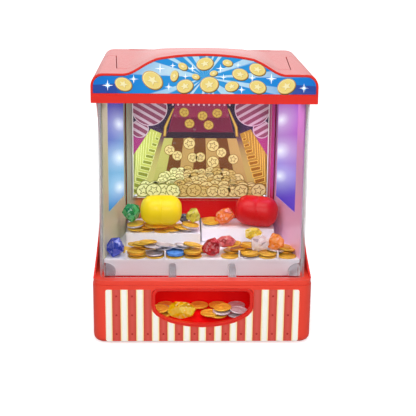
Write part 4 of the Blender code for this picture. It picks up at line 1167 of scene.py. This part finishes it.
def fill_right_pusher(top):
    """Back at rest, so only its front edge has to stay clear."""
    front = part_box("pusher_right")[0].y / MM
    pile = Pile("pusher_right", 0, 95, int(front) - 6, 33, top)
    capsule("capsule_red", srgb(176, 0, 6), pile.body, (71.8, -1.0, 134.5), half=27.2,
            radius=19.2, yaw=math.radians(-8), roll=0.7, pitch=math.radians(5))
    for x in (52, 60, 68, 76, 84, 92):
        pile.keep(x, -1.0 - (x - 72) * 0.13, 15.5)
    pile.lay(0.02, ((14, 5, "s"), (31, 3.5, "s"), (44, 20.5, "g"), (12.5, 20, "g")))
    pile.lay(0.06, ((13.5, 4.5, "g"), (14.5, 6, "g")))
    set_gem(pile, "gem_amber", srgb(244, 132, 6), 31.0, 3.5, size=27.0, seed=12, squash=0.9,
            z=top + 2.2)
    pile.lay(0.1, ((12.5, 12, "o"),))
    pile.mesh("coins_right_pusher")


def fill_table():
    """Coin table in front of the pushers."""
    pile = Pile("casing", -118, 118, -90, -37, TABLE_TOP)
    # raised strips at the front edge, two on each side
    for strip_x in (92, 45):
        on_strip = np.abs(np.abs(pile.grid_x) - strip_x) < 1.8
        pile.height[on_strip & (pile.grid_y < -78)] = TABLE_TOP + 10
    set_gem(pile, "gem_blue", srgb(50, 76, 200), -105.0, -70.5, size=27.0, seed=21, squash=0.95,
            z=TABLE_TOP)
    set_gem(pile, "gem_ruby", srgb(206, 20, 34), 11.5, -72.0, size=25.0, seed=27, squash=1.0,
            z=TABLE_TOP)
    # front row, flat on the table and square to the edge
    pile.lay(0.01, [(x, -73.5, kind) for x, kind in (
        (-79.5, "g"), (-57.5, "g"), (-33, "g"), (-11.0, "g"), (34, "g"), (58.5, "s"), (80.0, "g"),
        (104.5, "g"))])
    # middle and back rows, one layer
    pile.lay(0.05, [(-94 + 22.0 * i, -55.0, kind) for i, kind in enumerate("gsgsgogsgg")])
    pile.lay(0.06, ((-107, -49.5, "g"), (108, -50, "g"), (-96, -48.5, "g"), (2, -50, "g")))
    pile.lay(0.04, (
        (-79, -73, "g"), (-80, -74, "o"), (-79.5, -73.2, "g"), (-32.5, -73.2, "b"),
        (-33, -72.8, "b"), (-12, -73, "o"), (59, -73.5, "g"), (80.5, -73, "g"), (-58, -73, "s"),
        (58, -74, "g"), (-11, -72.5, "g")))
    pile.lay(0.16, (
        (-92, -62, "g"), (-70, -64, "o"), (-46, -63, "s"), (-24, -62, "s"), (24, -60, "g"),
        (46, -62, "o"), (91, -63, "s"), (106, -61, "g"), (-80, -64, "g"), (-58, -63, "s"),
        (-36, -62, "s"), (56, -60, "o"), (38, -60, "g"), (100, -58, "g"), (26, -56, "g"),
        (60, -58, "g")))
    set_gem(pile, "gem_rose", srgb(226, 104, 112), 30.0, -60.0, size=28.0, seed=33, squash=0.62,
            z=102.6)
    set_gem(pile, "gem_crystal", srgb(240, 222, 224), 71.0, -65.0, size=25.0, seed=44, squash=1.0,
            z=101.0)
    set_gem(pile, "gem_orange", srgb(250, 146, 4), 91.5, -61.0, size=24.5, seed=51, squash=0.92,
            z=99.6)
    pile.lay(0.2, (
        (34.5, -74.5, "o"), (35.5, -74.0, "g"), (104, -73, "s"), (103.5, -74, "s"),
        (59, -74, "s"), (80, -74.0, "g"), (-60, -72, "s"), (-88, -64, "o"), (-74, -66, "g"),
        (-47, -66, "s"), (-22, -64, "s"), (-12, -66, "g"), (46, -62, "g"), (52, -60, "g"),
        (44, -67, "o"), (107, -63, "o"), (-96, -60, "g"), (50, -54, "g"), (60, -52, "g"),
        (-66, -66, "g")))
    set_gem(pile, "gem_citrine", srgb(250, 222, 70), 65.5, -47.5, size=24.0, seed=39, squash=0.8,
            z=107.5)
    pile.mesh("coins_table")


def fill_tray():
    """Prize tray, whose floor climbs towards the back."""
    pile = Pile("casing", -70, 70, -112, -70, floor=26.2, rise=0.1895, rise_from=-113.5)
    set_gem(pile, "gem_tray", srgb(252, 224, 6), -24.0, -99.4, size=35.0, seed=63, squash=0.72,
            z=27.0)
    pile.lay(0.04, (
        (-49.5, -100.5, "g"), (-2.5, -101, "g"), (19.5, -101, "g"), (42, -100.5, "s"),
        (-44, -79, "g"), (-3, -79, "g"), (20, -79, "g"), (43, -79, "s")))
    pile.lay(0.12, (
        (-50, -93, "s"), (9, -100.5, "g"), (24, -99.5, "s"), (44.5, -99, "s"), (-2, -89, "g"),
        (25, -96, "g"), (-51, -97, "g")))
    pile.mesh("coins_tray")


finish_pieces()
sign_art()
stripe_art()
backdrop_art()
pusher_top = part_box("pusher_left")[1].z / MM
fill_left_pusher(pusher_top)
fill_right_pusher(pusher_top)
fill_table()
fill_tray()
floor()
world()
lights()
camera()

bpy.context.view_layer.update()
